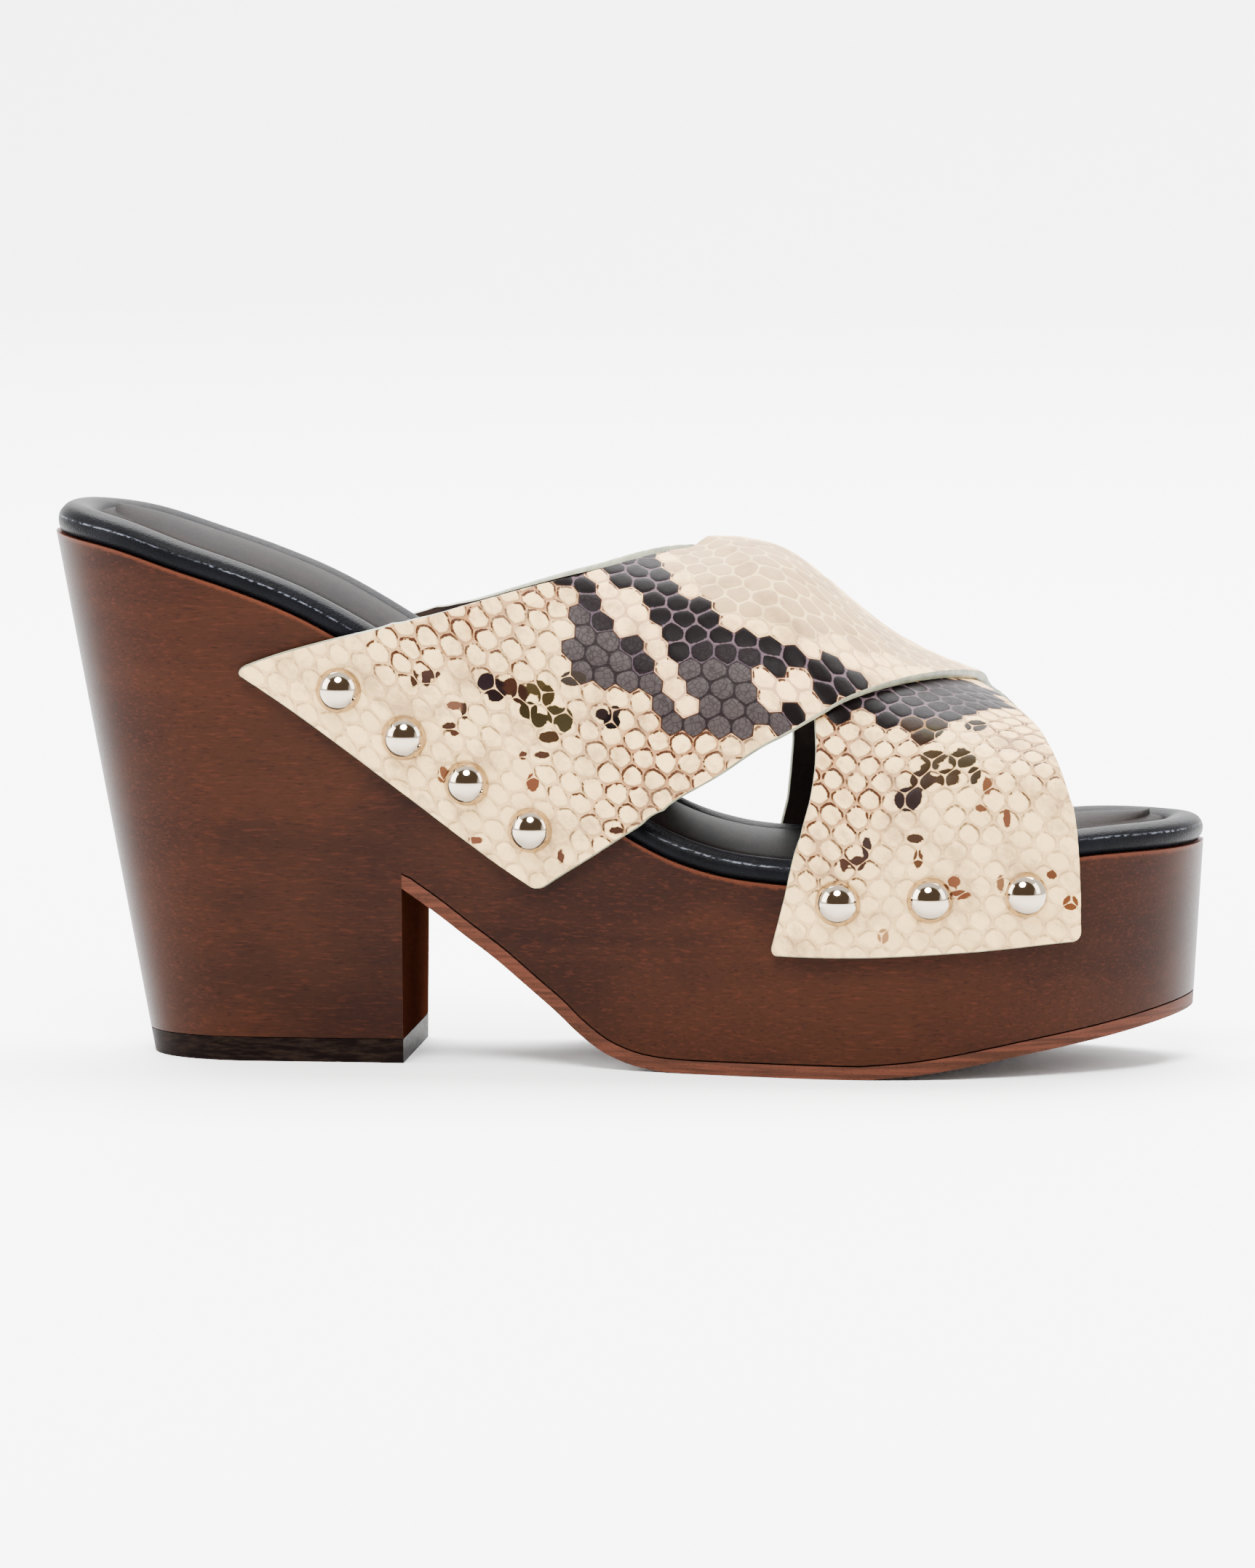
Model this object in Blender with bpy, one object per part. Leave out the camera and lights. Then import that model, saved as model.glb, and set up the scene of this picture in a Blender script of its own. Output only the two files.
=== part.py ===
"""Platform clog sandal for the right foot: a wooden sole with a block heel, a padded footbed,
and two crossing leather straps that are nailed to the sides of the wood with domed studs.

Metres. +X runs from heel to toe, -Y is the outer (lateral) side, +Z is up, and the floor is z = 0.
Each length that can be set by itself is a named size, and tables hold shares of those sizes.
"""

import math

import bmesh
import bpy
import numpy as np
from mathutils import Vector

LATERAL = -1
MEDIAL = 1

# Overall form of the wood
SHOE_LENGTH = 0.231
BALL_WIDTH = 0.088
SEAT_HEIGHT = 0.1050
PLATFORM_HEIGHT = 0.0382
ARCH_HEIGHT = 0.0355
TOE_SPRING = 0.0110
HEEL_DEPTH = 0.0725
HEEL_TAPER = 0.27
TOE_TAPER = 0.035
EDGE_ROUND = 0.0007

# Layers that lie on and under the wood
CONTACT_GAP = 0.0003
OUTSOLE_THICKNESS = 0.0026
LIFT_THICKNESS = 0.0048
RAND_HEIGHT = 0.0049
RAND_WIDTH = 0.0075
RAND_INSET = 0.0002
FOOTBED_FLOOR = 0.0016
SOCK_CLEARANCE = 0.0003
SOCK_EDGE_HEIGHT = 0.0040
SOCK_CROWN = 0.0012

# The straps
STRAP_WALL = 0.0018
STRAP_RAMP = 0.0080
SHOULDER_RISE = 0.0100
INSTEP_HEIGHT = 0.0620
ARCH_POWER = 2.25
CORNER_ROUND = 0.0014

# The domed nails
STUD_RADIUS = 0.0046
STUD_HEIGHT = 0.0038
PIN_RADIUS = 0.0008
PIN_LENGTH = 0.0100
PIN_CLEARANCE = 0.0003
REAR_STUD_INSET = 0.0092
FRONT_STUD_INSET = 0.0100

# Shares along SHOE_LENGTH, from the back of the heel to the tip of the toe
BALL_AT = 0.72
CONTACT_REAR_AT = 0.565
CONTACT_FRONT_AT = 0.716
CREST_AT = 0.02

# Plan of the wood: share of length, then spine, lateral and medial half widths as shares of BALL_WIDTH
PLAN = (
    # at,    spine, lateral, medial
    (0.00, 0.022, 0.350, 0.350),
    (0.15, 0.022, 0.372, 0.372),
    (0.30, 0.020, 0.385, 0.350),
    (0.45, 0.012, 0.420, 0.345),
    (0.60, 0.004, 0.475, 0.400),
    (0.72, 0.006, 0.515, 0.450),
    (0.82, 0.018, 0.525, 0.390),
    (0.92, 0.045, 0.525, 0.310),
    (1.00, 0.062, 0.525, 0.270),
)
HEEL_CAP = (0.135, 2.3)
TOE_CAP = {LATERAL: (0.290, 2.2), MEDIAL: (0.290, 2.2)}

# Top of the wood: share of length, and rise as a share of SEAT_HEIGHT less PLATFORM_HEIGHT
TOP_LINE = (
    (0.000, 1.006),
    (0.067, 0.966),
    (0.119, 0.909),
    (0.171, 0.850),
    (0.223, 0.778),
    (0.266, 0.699),
    (0.327, 0.566),
    (0.413, 0.349),
    (0.500, 0.154),
    (0.543, 0.076),
    (0.587, 0.028),
    (0.639, 0.004),
    (0.695, 0.000),
    (0.803, 0.033),
    (0.903, 0.080),
    (1.000, 0.084),
)

# Underside of the outsole: share of the way from the heel breast to the ball, and share of ARCH_HEIGHT
ARCH_LINE = (
    (0.00, 1.000),
    (0.12, 0.862),
    (0.22, 0.738),
    (0.33, 0.605),
    (0.44, 0.455),
    (0.54, 0.318),
    (0.62, 0.198),
    (0.70, 0.105),
    (0.78, 0.048),
    (0.88, 0.012),
    (1.00, 0.000),
)
# Underside of the toe: share of the way from the ball to the tip, and share of TOE_SPRING
TOE_LINE = (
    (0.00, 0.000),
    (0.15, 0.075),
    (0.50, 0.430),
    (0.72, 0.655),
    (1.00, 1.000),
)

# How full the footbed's rim is: share of length, and share of its height
RIM_LINE = (
    (0.00, 1.28),
    (0.10, 1.12),
    (0.35, 1.04),
    (0.60, 0.94),
    (0.80, 0.98),
    (1.00, 1.04),
)

# Ridge of the instep over the footbed: share of length, and share of INSTEP_HEIGHT above PLATFORM_HEIGHT
CREST_LINE = (
    (0.10, 1.300),
    (0.25, 1.230),
    (0.40, 1.110),
    (0.50, 1.035),
    (0.56, 1.012),
    (0.60, 1.005),
    (0.63, 0.975),
    (0.66, 0.895),
    (0.69, 0.800),
    (0.72, 0.715),
    (0.76, 0.635),
    (0.80, 0.578),
    (0.84, 0.515),
    (0.90, 0.440),
    (1.00, 0.360),
)

# The straps, from the rear end to the front end on the other side of the foot. Each row is a line across
# the strap. A place is a share of length and a girth: 0 on the ridge, 1 at the shoulder where the strap
# leaves the wall, 2 at the floor; girths are negative on the side where the strap's rear end is.
OVER_STRAP = (
    # rear edge: at, girth; front edge: at, girth
    (0.1716, -1.245, 0.4356, -1.470),
    (0.2450, -1.130, 0.4815, -1.295),
    (0.3048, -1.010, 0.5213, -1.120),
    (0.3335, -0.900, 0.5467, -1.000),
    (0.3797, -0.700, 0.6054, -0.870),
    (0.4230, -0.540, 0.6635, -0.720),
    (0.4713, -0.380, 0.6969, -0.580),
    (0.5235, -0.190, 0.7505, -0.310),
    (0.5680, 0.000, 0.7900, -0.050),
    (0.5955, 0.190, 0.8105, 0.145),
    (0.6140, 0.380, 0.8260, 0.340),
    (0.6275, 0.565, 0.8390, 0.530),
    (0.6360, 0.750, 0.8500, 0.720),
    (0.6330, 0.925, 0.8562, 0.900),
    (0.6250, 1.100, 0.8610, 1.080),
    (0.6150, 1.300, 0.8640, 1.290),
    (0.6030, 1.500, 0.8660, 1.500),
)
UNDER_STRAP = (
    # rear edge: at, girth; front edge: at, girth
    (0.1793, -1.245, 0.4356, -1.470),
    (0.2560, -1.130, 0.4815, -1.295),
    (0.3135, -1.010, 0.5225, -1.120),
    (0.3430, -0.900, 0.5480, -1.000),
    (0.3886, -0.700, 0.6080, -0.870),
    (0.4300, -0.540, 0.6620, -0.700),
    (0.4745, -0.380, 0.7060, -0.500),
    (0.5240, -0.190, 0.7640, -0.250),
    (0.5740, 0.000, 0.8120, 0.000),
    (0.6160, 0.190, 0.8410, 0.160),
    (0.6480, 0.380, 0.8601, 0.320),
    (0.6690, 0.565, 0.8735, 0.520),
    (0.6780, 0.750, 0.8830, 0.720),
    (0.6755, 0.900, 0.8893, 0.900),
    (0.6628, 1.050, 0.8955, 1.080),
    (0.6523, 1.270, 0.8983, 1.285),
    (0.6406, 1.490, 0.8987, 1.490),
)
# Studs along each end, as shares of the end's length from its rear corner
REAR_STUDS = (0.256, 0.472, 0.680, 0.892)
FRONT_STUDS = (0.232, 0.528, 0.831)

# Mesh density
HEEL_STATIONS = 12
FRONT_STATIONS = 26
BODY_ROWS = 2
HEEL_ROWS = 3
CROSS_CELLS = 4
STRAP_CELLS_LONG = 36
STRAP_CELLS_WIDE = 10
STUD_SIDES = 12
STUD_RINGS = 3
PIN_SIDES = 6
WELD = 0.00002

MATERIALS = {
    # name: base colour, roughness, metallic
    "stained_wood": ((0.100, 0.038, 0.021), 0.38, 0.0),
    "tan_outsole": ((0.190, 0.072, 0.036), 0.70, 0.0),
    "dark_lift": ((0.030, 0.024, 0.022), 0.55, 0.0),
    "black_leather": ((0.012, 0.012, 0.014), 0.42, 0.0),
    "snake_leather": ((0.720, 0.660, 0.540), 0.35, 0.0),
    "pale_gold": ((0.850, 0.790, 0.690), 0.08, 1.0),
}


def smooth_table(rows, column, at):
    """Value of a table's column at a share, by a cubic through its rows."""
    xs = np.array([row[0] for row in rows])
    ys = np.array([row[column] for row in rows])
    slopes = np.gradient(ys, xs)
    at = np.clip(np.asarray(at, float), xs[0], xs[-1])
    k = np.clip(np.searchsorted(xs, at) - 1, 0, len(xs) - 2)
    width = xs[k + 1] - xs[k]
    u = (at - xs[k]) / width
    value = (1 + 2 * u) * (1 - u) ** 2 * ys[k] + u * (1 - u) ** 2 * width * slopes[k]
    return value + u * u * (3 - 2 * u) * ys[k + 1] + u * u * (u - 1) * width * slopes[k + 1]


def fade(x, start, end):
    """0 before start, 1 after end, smooth between."""
    u = np.clip((x - start) / (end - start), 0, 1)
    return u * u * (3 - 2 * u)


def x_at(share):
    return (share - 0.5) * SHOE_LENGTH


def share_at(x):
    return x / SHOE_LENGTH + 0.5


BREAST_X = x_at(0) + HEEL_DEPTH
BALL_X = x_at(BALL_AT)


def top_z(x):
    """Height of the wood's top, which is level across the shoe."""
    rise = smooth_table(TOP_LINE, 1, share_at(x))
    return PLATFORM_HEIGHT + rise * (SEAT_HEIGHT - PLATFORM_HEIGHT)


def ground_z(x):
    """Height of the outsole's underside."""
    rear = x_at(CONTACT_REAR_AT)
    front = x_at(CONTACT_FRONT_AT)
    arch = smooth_table(ARCH_LINE, 1, (x - BREAST_X) / (rear - BREAST_X))
    toe = smooth_table(TOE_LINE, 1, (x - front) / (x_at(1) - front))
    return np.where(x < rear, arch * ARCH_HEIGHT, np.where(x > front, toe * TOE_SPRING, 0.0))


def stretch(curve, x):
    """Length along a height curve for each metre of x."""
    step = 0.0005
    slope = (curve(x + step) - curve(x - step)) / (2 * step)
    return np.sqrt(1 + slope * slope)


def outsole_top_z(x):
    return ground_z(x) + OUTSOLE_THICKNESS * stretch(ground_z, x)


def wood_under_z(x):
    return ground_z(x) + (OUTSOLE_THICKNESS + CONTACT_GAP) * stretch(ground_z, x)


def end_cap(share, length, power):
    """Share of the full width that is left at a distance from a rounded end."""
    return (1 - (1 - np.clip(share / length, 0, 1)) ** power) ** (1 / power)


def heel_scale(z):
    return 1 - HEEL_TAPER * (SEAT_HEIGHT - z) / SEAT_HEIGHT


def toe_scale(z):
    return 1 - TOE_TAPER * (PLATFORM_HEIGHT - z) / PLATFORM_HEIGHT


def leaned_x(x, z):
    """Where a station of the plan lies at height z: heel and toe lean inwards going down."""
    heel = BREAST_X + (x - BREAST_X) * heel_scale(z)
    toe = BALL_X + (x - BALL_X) * toe_scale(z)
    return np.where(x < BREAST_X, heel, np.where(x > BALL_X, toe, x))


def station_x(x, z):
    """The station of the plan that lies at x at height z, which undoes leaned_x."""
    heel = BREAST_X + (x - BREAST_X) / heel_scale(z)
    toe = BALL_X + (x - BALL_X) / toe_scale(z)
    return np.where(x < BREAST_X, heel, np.where(x > BALL_X, toe, x))


def plan_y(side, station, z, inset=0.0):
    """Distance of the wood's wall from the X axis, at a station of the plan and a height."""
    share = share_at(station)
    spine = smooth_table(PLAN, 1, share) * BALL_WIDTH
    half = smooth_table(PLAN, 2 if side == LATERAL else 3, share) * BALL_WIDTH
    cap = end_cap(share, *HEEL_CAP) * end_cap(1 - share, *TOE_CAP[side])
    heel_share = 1 - fade(station, BREAST_X, BALL_X)
    toe_share = fade(station, BALL_X, x_at(1))
    heel_half = 1 - (1 - heel_scale(z)) * heel_share
    toe_half = 1 - (1 - toe_scale(z)) * toe_share
    return spine + side * (half * cap * heel_half * toe_half - inset)


def wall_y(side, x, z):
    """Y of the wood's wall at a real x and height."""
    return plan_y(side, station_x(x, z), z)


def plan_stations():
    """Stations of the plan, close together where the heel and toe turn. The heel breast is one of them."""
    heel = x_at(0) + HEEL_DEPTH * (1 - np.cos(np.linspace(0, math.pi / 2, HEEL_STATIONS + 1)))
    front = BREAST_X + (x_at(1) - BREAST_X) * np.sin(np.linspace(0, math.pi / 2, FRONT_STATIONS + 1))
    return heel, front


def height_on(curve, station):
    """Height at which the wall of a station meets a height curve."""
    z = curve(station)
    for _ in range(12):
        z = curve(leaned_x(station, z))
    return z


def wall_patch(side, stations, high, low, rows):
    """Grid of points down the wall, from height high to height low at each station."""
    share = np.linspace(0, 1, rows + 1)[:, None]
    z = (1 - share) * high[None, :] + share * low[None, :]
    x = leaned_x(stations[None, :], z)
    y = plan_y(side, stations[None, :], z)
    return np.stack([x, y, z], axis=-1)


def across(lateral, medial, cells=None):
    """Grid of points between two edges that hold as many points each."""
    share = np.linspace(0, 1, (cells or CROSS_CELLS) + 1)[:, None, None]
    return (1 - share) * lateral[None] + share * medial[None]


def solid_from(name, patches, material, bevel=0.0):
    """One closed object from grids of points whose edges meet."""
    bm = bmesh.new()
    for grid in patches:
        rows, columns = grid.shape[:2]
        verts = [[bm.verts.new(grid[i, j]) for j in range(columns)] for i in range(rows)]
        for i in range(rows - 1):
            for j in range(columns - 1):
                bm.faces.new((verts[i][j], verts[i][j + 1], verts[i + 1][j + 1], verts[i + 1][j]))
    bmesh.ops.remove_doubles(bm, verts=bm.verts, dist=WELD)
    bmesh.ops.dissolve_degenerate(bm, edges=bm.edges, dist=WELD)
    if not bevel:
        bmesh.ops.triangulate(bm, faces=bm.faces)
    bmesh.ops.recalc_face_normals(bm, faces=bm.faces)
    mesh = bpy.data.meshes.new(name)
    bm.to_mesh(mesh)
    bm.free()
    mesh.shade_smooth()
    mesh.set_sharp_from_angle(angle=math.radians(40))
    thing = bpy.data.objects.new(name, mesh)
    bpy.context.scene.collection.objects.link(thing)
    mesh.materials.append(bpy.data.materials[material])
    if bevel:
        rounding = thing.modifiers.new("edge_round", "BEVEL")
        rounding.width = bevel
        rounding.segments = 1
        rounding.limit_method = "ANGLE"
        rounding.angle_limit = math.radians(50)
    return thing


def make_wood_sole():
    """Platform and block heel in one piece of wood, with the arch sawn out behind the ball."""
    heel, front = plan_stations()
    stations = np.concatenate([heel, front[1:]])
    at_breast = len(heel) - 1
    top = height_on(top_z, stations)
    breast_z = float(wood_under_z(BREAST_X))
    split = np.where(stations < BREAST_X, breast_z, height_on(wood_under_z, stations))
    split[at_breast] = breast_z
    foot = np.full(len(heel), LIFT_THICKNESS + CONTACT_GAP)
    upper_wall = {s: wall_patch(s, stations, top, split, BODY_ROWS) for s in (LATERAL, MEDIAL)}
    heel_wall = {s: wall_patch(s, heel, split[: at_breast + 1], foot, HEEL_ROWS) for s in (LATERAL, MEDIAL)}
    patches = [*upper_wall.values(), *heel_wall.values()]
    patches.append(across(upper_wall[LATERAL][0], upper_wall[MEDIAL][0]))
    patches.append(across(upper_wall[LATERAL][-1][at_breast:], upper_wall[MEDIAL][-1][at_breast:]))
    patches.append(across(heel_wall[LATERAL][-1], heel_wall[MEDIAL][-1]))
    patches.append(across(heel_wall[LATERAL][:, -1], heel_wall[MEDIAL][:, -1]))
    return solid_from("wood_sole", patches, "stained_wood", EDGE_ROUND)


def make_slab(name, stations, high, low, material):
    """A layer between two heights, with the wood's own wall. Its rear end is flat where it is cut."""
    walls = {s: wall_patch(s, stations, high, low, 1) for s in (LATERAL, MEDIAL)}
    patches = list(walls.values())
    patches.append(across(walls[LATERAL][0], walls[MEDIAL][0]))
    patches.append(across(walls[LATERAL][-1], walls[MEDIAL][-1]))
    patches.append(across(walls[LATERAL][:, 0], walls[MEDIAL][:, 0]))
    patches.append(across(walls[LATERAL][:, -1], walls[MEDIAL][:, -1]))
    return solid_from(name, patches, material)


def make_outsole():
    """Thin sheet under the arch and forefoot, flat at the ball."""
    stations = plan_stations()[1]
    return make_slab(
        "outsole",
        stations,
        height_on(outsole_top_z, stations),
        height_on(ground_z, stations),
        "tan_outsole",
    )


def make_heel_lift():
    """Hard tread block under the heel."""
    stations = plan_stations()[0]
    return make_slab(
        "heel_lift",
        stations,
        np.full(len(stations), LIFT_THICKNESS),
        np.zeros(len(stations)),
        "dark_lift",
    )


def footbed_ring(side, inset, height):
    """Points round one side of the footbed at a distance in from the wood's edge and above its top."""
    heel, front = plan_stations()
    stations = np.concatenate([heel, front[1:]])
    z = height_on(top_z, stations)
    x = leaned_x(stations, z)
    y = plan_y(side, stations, z)
    tangent = np.stack([np.gradient(x), np.gradient(y)], axis=-1)
    tangent[0] = (0, side)
    tangent[-1] = (0, -side)
    tangent /= np.linalg.norm(tangent, axis=1)[:, None]
    x = x + side * tangent[:, 1] * inset
    y = y - side * tangent[:, 0] * inset
    slope = (top_z(x + 0.0005) - top_z(x - 0.0005)) / 0.001
    steep = np.sqrt(1 + slope * slope)
    height = CONTACT_GAP + (height - CONTACT_GAP) * smooth_table(RIM_LINE, 1, share_at(x))
    return np.stack([x - slope / steep * height, y, top_z(x) + height / steep], axis=-1)


def footbed_solid(name, profile, floor_height, material):
    """A closed pad: rings from its bottom edge, round its rim and in, then straight across."""
    rings = {s: [footbed_ring(s, inset, height) for inset, height in profile] for s in (LATERAL, MEDIAL)}
    patches = [np.stack(rings[s]) for s in (LATERAL, MEDIAL)]
    patches.append(across(rings[LATERAL][0], rings[MEDIAL][0]))
    crown = across(rings[LATERAL][-1], rings[MEDIAL][-1])
    share = np.linspace(0, 1, CROSS_CELLS + 1)
    crown[:, :, 2] += (floor_height * (1 - (2 * share - 1) ** 2))[:, None]
    patches.append(crown)
    return solid_from(name, patches, material)


def make_footbed():
    """Leather-covered footbed with a rolled rim and a well for the sock."""
    low = CONTACT_GAP
    rim = [
        (RAND_INSET + 0.10 * RAND_WIDTH, low),
        (RAND_INSET, low + 0.22 * RAND_HEIGHT),
        (RAND_INSET, low + 0.55 * RAND_HEIGHT),
        (RAND_INSET + 0.14 * RAND_WIDTH, low + 0.85 * RAND_HEIGHT),
        (RAND_INSET + 0.45 * RAND_WIDTH, low + RAND_HEIGHT),
        (RAND_INSET + 0.80 * RAND_WIDTH, low + 0.88 * RAND_HEIGHT),
        (RAND_INSET + RAND_WIDTH, low + 0.62 * RAND_HEIGHT),
        (RAND_INSET + RAND_WIDTH, low + FOOTBED_FLOOR),
    ]
    return footbed_solid("footbed", rim, 0.0, "black_leather")


def make_sock():
    """Padded sock that fills the well of the footbed, a little crowned."""
    edge = RAND_INSET + RAND_WIDTH + SOCK_CLEARANCE
    low = CONTACT_GAP + FOOTBED_FLOOR + CONTACT_GAP
    soft = 0.25 * RAND_WIDTH
    rim = [
        (edge, low),
        (edge, CONTACT_GAP + 0.80 * SOCK_EDGE_HEIGHT),
        (edge + 0.4 * soft, CONTACT_GAP + SOCK_EDGE_HEIGHT),
        (edge + 1.6 * soft, CONTACT_GAP + 1.12 * SOCK_EDGE_HEIGHT),
    ]
    return footbed_solid("sock", rim, SOCK_CROWN, "black_leather")


def shoulder_z(x):
    """Height at which a strap leaves the straight wall and starts over the foot."""
    return top_z(x) + SHOULDER_RISE


def crest_z(x):
    return PLATFORM_HEIGHT + smooth_table(CREST_LINE, 1, share_at(x)) * INSTEP_HEIGHT


def last_point(x, girth):
    """Point on the inside of the upper, from the floor on one side, over the instep, to the other side."""
    x = np.asarray(x, float)
    girth = np.asarray(girth, float)
    size = np.abs(girth)
    shoulder = shoulder_z(x)
    turn = np.clip(1 - size, 0, 1) * math.pi / 2
    arch_z = shoulder + (crest_z(x) - shoulder) * np.sin(turn) ** (2 / ARCH_POWER)
    z = np.where(size > 1, shoulder * (2 - size), arch_z)
    held_z = np.minimum(z, shoulder)
    ridge_y = CREST_AT * BALL_WIDTH
    reach = np.where(size > 1, 1.0, np.abs(np.cos(turn)) ** (2 / ARCH_POWER))
    sides = [wall_y(s, x, held_z) + s * CONTACT_GAP for s in (LATERAL, MEDIAL)]
    wall = np.where(girth < 0, sides[0], sides[1])
    return np.stack([x, ridge_y + (wall - ridge_y) * reach, z], axis=-1)


def strap_places(pattern, side, along, wide):
    """x and girth of a grid on a strap whose rear end is on the given side."""
    share = np.linspace(0, 1, len(pattern))
    rows = [(s, *row) for s, row in zip(share, pattern)]
    rear_x, rear_g, front_x, front_g = (smooth_table(rows, c, along) for c in (1, 2, 3, 4))
    x = x_at((1 - wide) * rear_x + wide * front_x)
    return x, ((1 - wide) * rear_g + wide * front_g) * (-side)


def strap_domain(cells_long, cells_wide):
    """Shares along and across a strap, with its four corners rounded."""
    long_round = CORNER_ROUND / (0.9 * BALL_WIDTH + INSTEP_HEIGHT)
    wide_round = CORNER_ROUND / (0.7 * BALL_WIDTH)
    inner = np.linspace(long_round, 1 - long_round, cells_long - 3)
    along = np.concatenate([[0, 0.3 * long_round], inner, [1 - 0.3 * long_round, 1]])
    from_end = np.minimum(along, 1 - along)
    cut = wide_round * (1 - np.sqrt(1 - np.clip(1 - from_end / long_round, 0, 1) ** 2))
    wide = np.linspace(0, 1, cells_wide + 1)
    return np.broadcast_to(along, (cells_wide + 1, len(along))), cut + wide[:, None] * (1 - 2 * cut)


def surface_normals(points):
    """Outward unit normals of a grid of points on the upper."""
    down = np.gradient(points, axis=0)
    along = np.gradient(points, axis=1)
    normal = np.cross(along, down)
    normal /= np.linalg.norm(normal, axis=-1)[..., None]
    middle = tuple(n // 2 for n in points.shape[:2])
    return normal if normal[middle][2] > 0 else -normal


def strap_edge(pattern, side, girth, front):
    """x of a strap's rear or front edge, where it has the given girth."""
    rows = [(row[3], row[2]) if front else (row[1], row[0]) for row in pattern]
    return x_at(smooth_table(rows, 1, -side * girth))


def over_share(x, girth):
    """1 where the upper strap lies on the lower one, falling to 0 beside it."""
    rear = strap_edge(UNDER_STRAP, MEDIAL, girth, False)
    front = strap_edge(UNDER_STRAP, MEDIAL, girth, True)
    return fade(x, rear - STRAP_RAMP, rear) * (1 - fade(x, front, front + STRAP_RAMP))


def strap_sheets(pattern, side, over):
    """Inner and outer grids of one strap. The upper one is joined half a wall deep into the lower one."""
    along, wide = strap_domain(STRAP_CELLS_LONG, STRAP_CELLS_WIDE)
    x, girth = strap_places(pattern, side, along, wide)
    points = last_point(x, girth)
    normals = surface_normals(points)
    lift = (over_share(x, girth) if over else np.zeros_like(x))[..., None] * STRAP_WALL
    return points + normals * lift / 2, points + normals * (lift + STRAP_WALL)


def make_strap(name, pattern, side, over):
    inner, outer = strap_sheets(pattern, side, over)
    patches = [inner, outer]
    for edge in (np.s_[0], np.s_[-1], np.s_[:, 0], np.s_[:, -1]):
        patches.append(np.stack([inner[edge], outer[edge]]))
    return solid_from(name, patches, "snake_leather")


def wall_corner(at, girth):
    """x and height of a strap corner that lies on the wall."""
    return Vector((x_at(at), float(shoulder_z(x_at(at))) * (2 - abs(girth))))


def stud_places(side, rear_end):
    """Centre on the strap's outside and outward direction of each stud of one strap end."""
    over = rear_end == (side == LATERAL)
    pattern = OVER_STRAP if over else UNDER_STRAP
    row = pattern[0] if rear_end else pattern[-1]
    rear, front = wall_corner(*row[:2]), wall_corner(*row[2:])
    run = (front - rear).normalized()
    inward = Vector((-run.y, run.x)) * (REAR_STUD_INSET if rear_end else FRONT_STUD_INSET)
    step = 0.001
    places = []
    for share in REAR_STUDS if rear_end else FRONT_STUDS:
        x, z = rear + (front - rear) * share + inward
        near = [Vector((px, float(wall_y(side, px, pz)), pz)) for px, pz in ((x, z), (x + step, z), (x, z + step))]
        out = (near[1] - near[0]).cross(near[2] - near[0]).normalized()
        out = out if out.y * side > 0 else -out
        base = near[0] + out * (CONTACT_GAP + STRAP_WALL + CONTACT_GAP)
        places.append((base, out))
    return places


def lathe(name, outline, sides, base, direction, material):
    """A turned solid from (radius, height) pairs that start and end on the axis."""
    bm = bmesh.new()
    verts = [bm.verts.new((radius, 0, height)) for radius, height in outline]
    edges = [bm.edges.new(pair) for pair in zip(verts, verts[1:])]
    bmesh.ops.spin(bm, geom=verts + edges, axis=(0, 0, 1), cent=(0, 0, 0), steps=sides, angle=math.tau)
    bmesh.ops.remove_doubles(bm, verts=bm.verts, dist=WELD)
    bmesh.ops.recalc_face_normals(bm, faces=bm.faces)
    mesh = bpy.data.meshes.new(name)
    bm.to_mesh(mesh)
    bm.free()
    mesh.shade_smooth()
    mesh.set_sharp_from_angle(angle=math.radians(50))
    thing = bpy.data.objects.new(name, mesh)
    bpy.context.scene.collection.objects.link(thing)
    mesh.materials.append(bpy.data.materials[material])
    thing.location = base
    thing.rotation_mode = "QUATERNION"
    thing.rotation_quaternion = direction.to_track_quat("Z", "Y")
    return thing


def stud_outline():
    """Dome above its base, and the pin below it."""
    ball = (STUD_RADIUS**2 + STUD_HEIGHT**2) / (2 * STUD_HEIGHT)
    spread = math.asin(STUD_RADIUS / ball)
    turns = [spread * k / STUD_RINGS for k in range(STUD_RINGS + 1)]
    dome = [(ball * math.sin(t), STUD_HEIGHT - ball * (1 - math.cos(t))) for t in turns]
    return [*dome, (PIN_RADIUS, 0.0), (PIN_RADIUS, -PIN_LENGTH), (0.0, -PIN_LENGTH)]


def make_studs():
    """The domed nails, and the bores that they sit in."""
    bores = []
    for side, side_name in ((LATERAL, "lateral"), (MEDIAL, "medial")):
        for rear_end, end_name in ((True, "rear"), (False, "front")):
            for k, (base, out) in enumerate(stud_places(side, rear_end), 1):
                name = f"{end_name}_{side_name}_{k}"
                lathe(f"stud_{name}", stud_outline(), STUD_SIDES, base, out, "pale_gold")
                wide = PIN_RADIUS + PIN_CLEARANCE
                deep = PIN_LENGTH + PIN_CLEARANCE
                hole = [(0.0, STRAP_WALL), (wide, STRAP_WALL), (wide, -deep), (0.0, -deep)]
                bore = lathe(f"bore_{name}", hole, PIN_SIDES, base, out, "pale_gold")
                bore.hide_render = True
                bore.display_type = "WIRE"
                bores.append(bore)
    return bores


def drill(thing, bores):
    for bore in bores:
        cut = thing.modifiers.new(bore.name, "BOOLEAN")
        cut.operation = "DIFFERENCE"
        cut.object = bore


def make_upper():
    """Both straps as one piece, joined where the upper one lies on the lower one."""
    upper = make_strap("upper", OVER_STRAP, LATERAL, True)
    lower = make_strap("under_strap", UNDER_STRAP, MEDIAL, False)
    lower.hide_render = True
    lower.display_type = "WIRE"
    joint = upper.modifiers.new("crossing", "BOOLEAN")
    joint.operation = "UNION"
    joint.object = lower
    return upper


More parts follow.
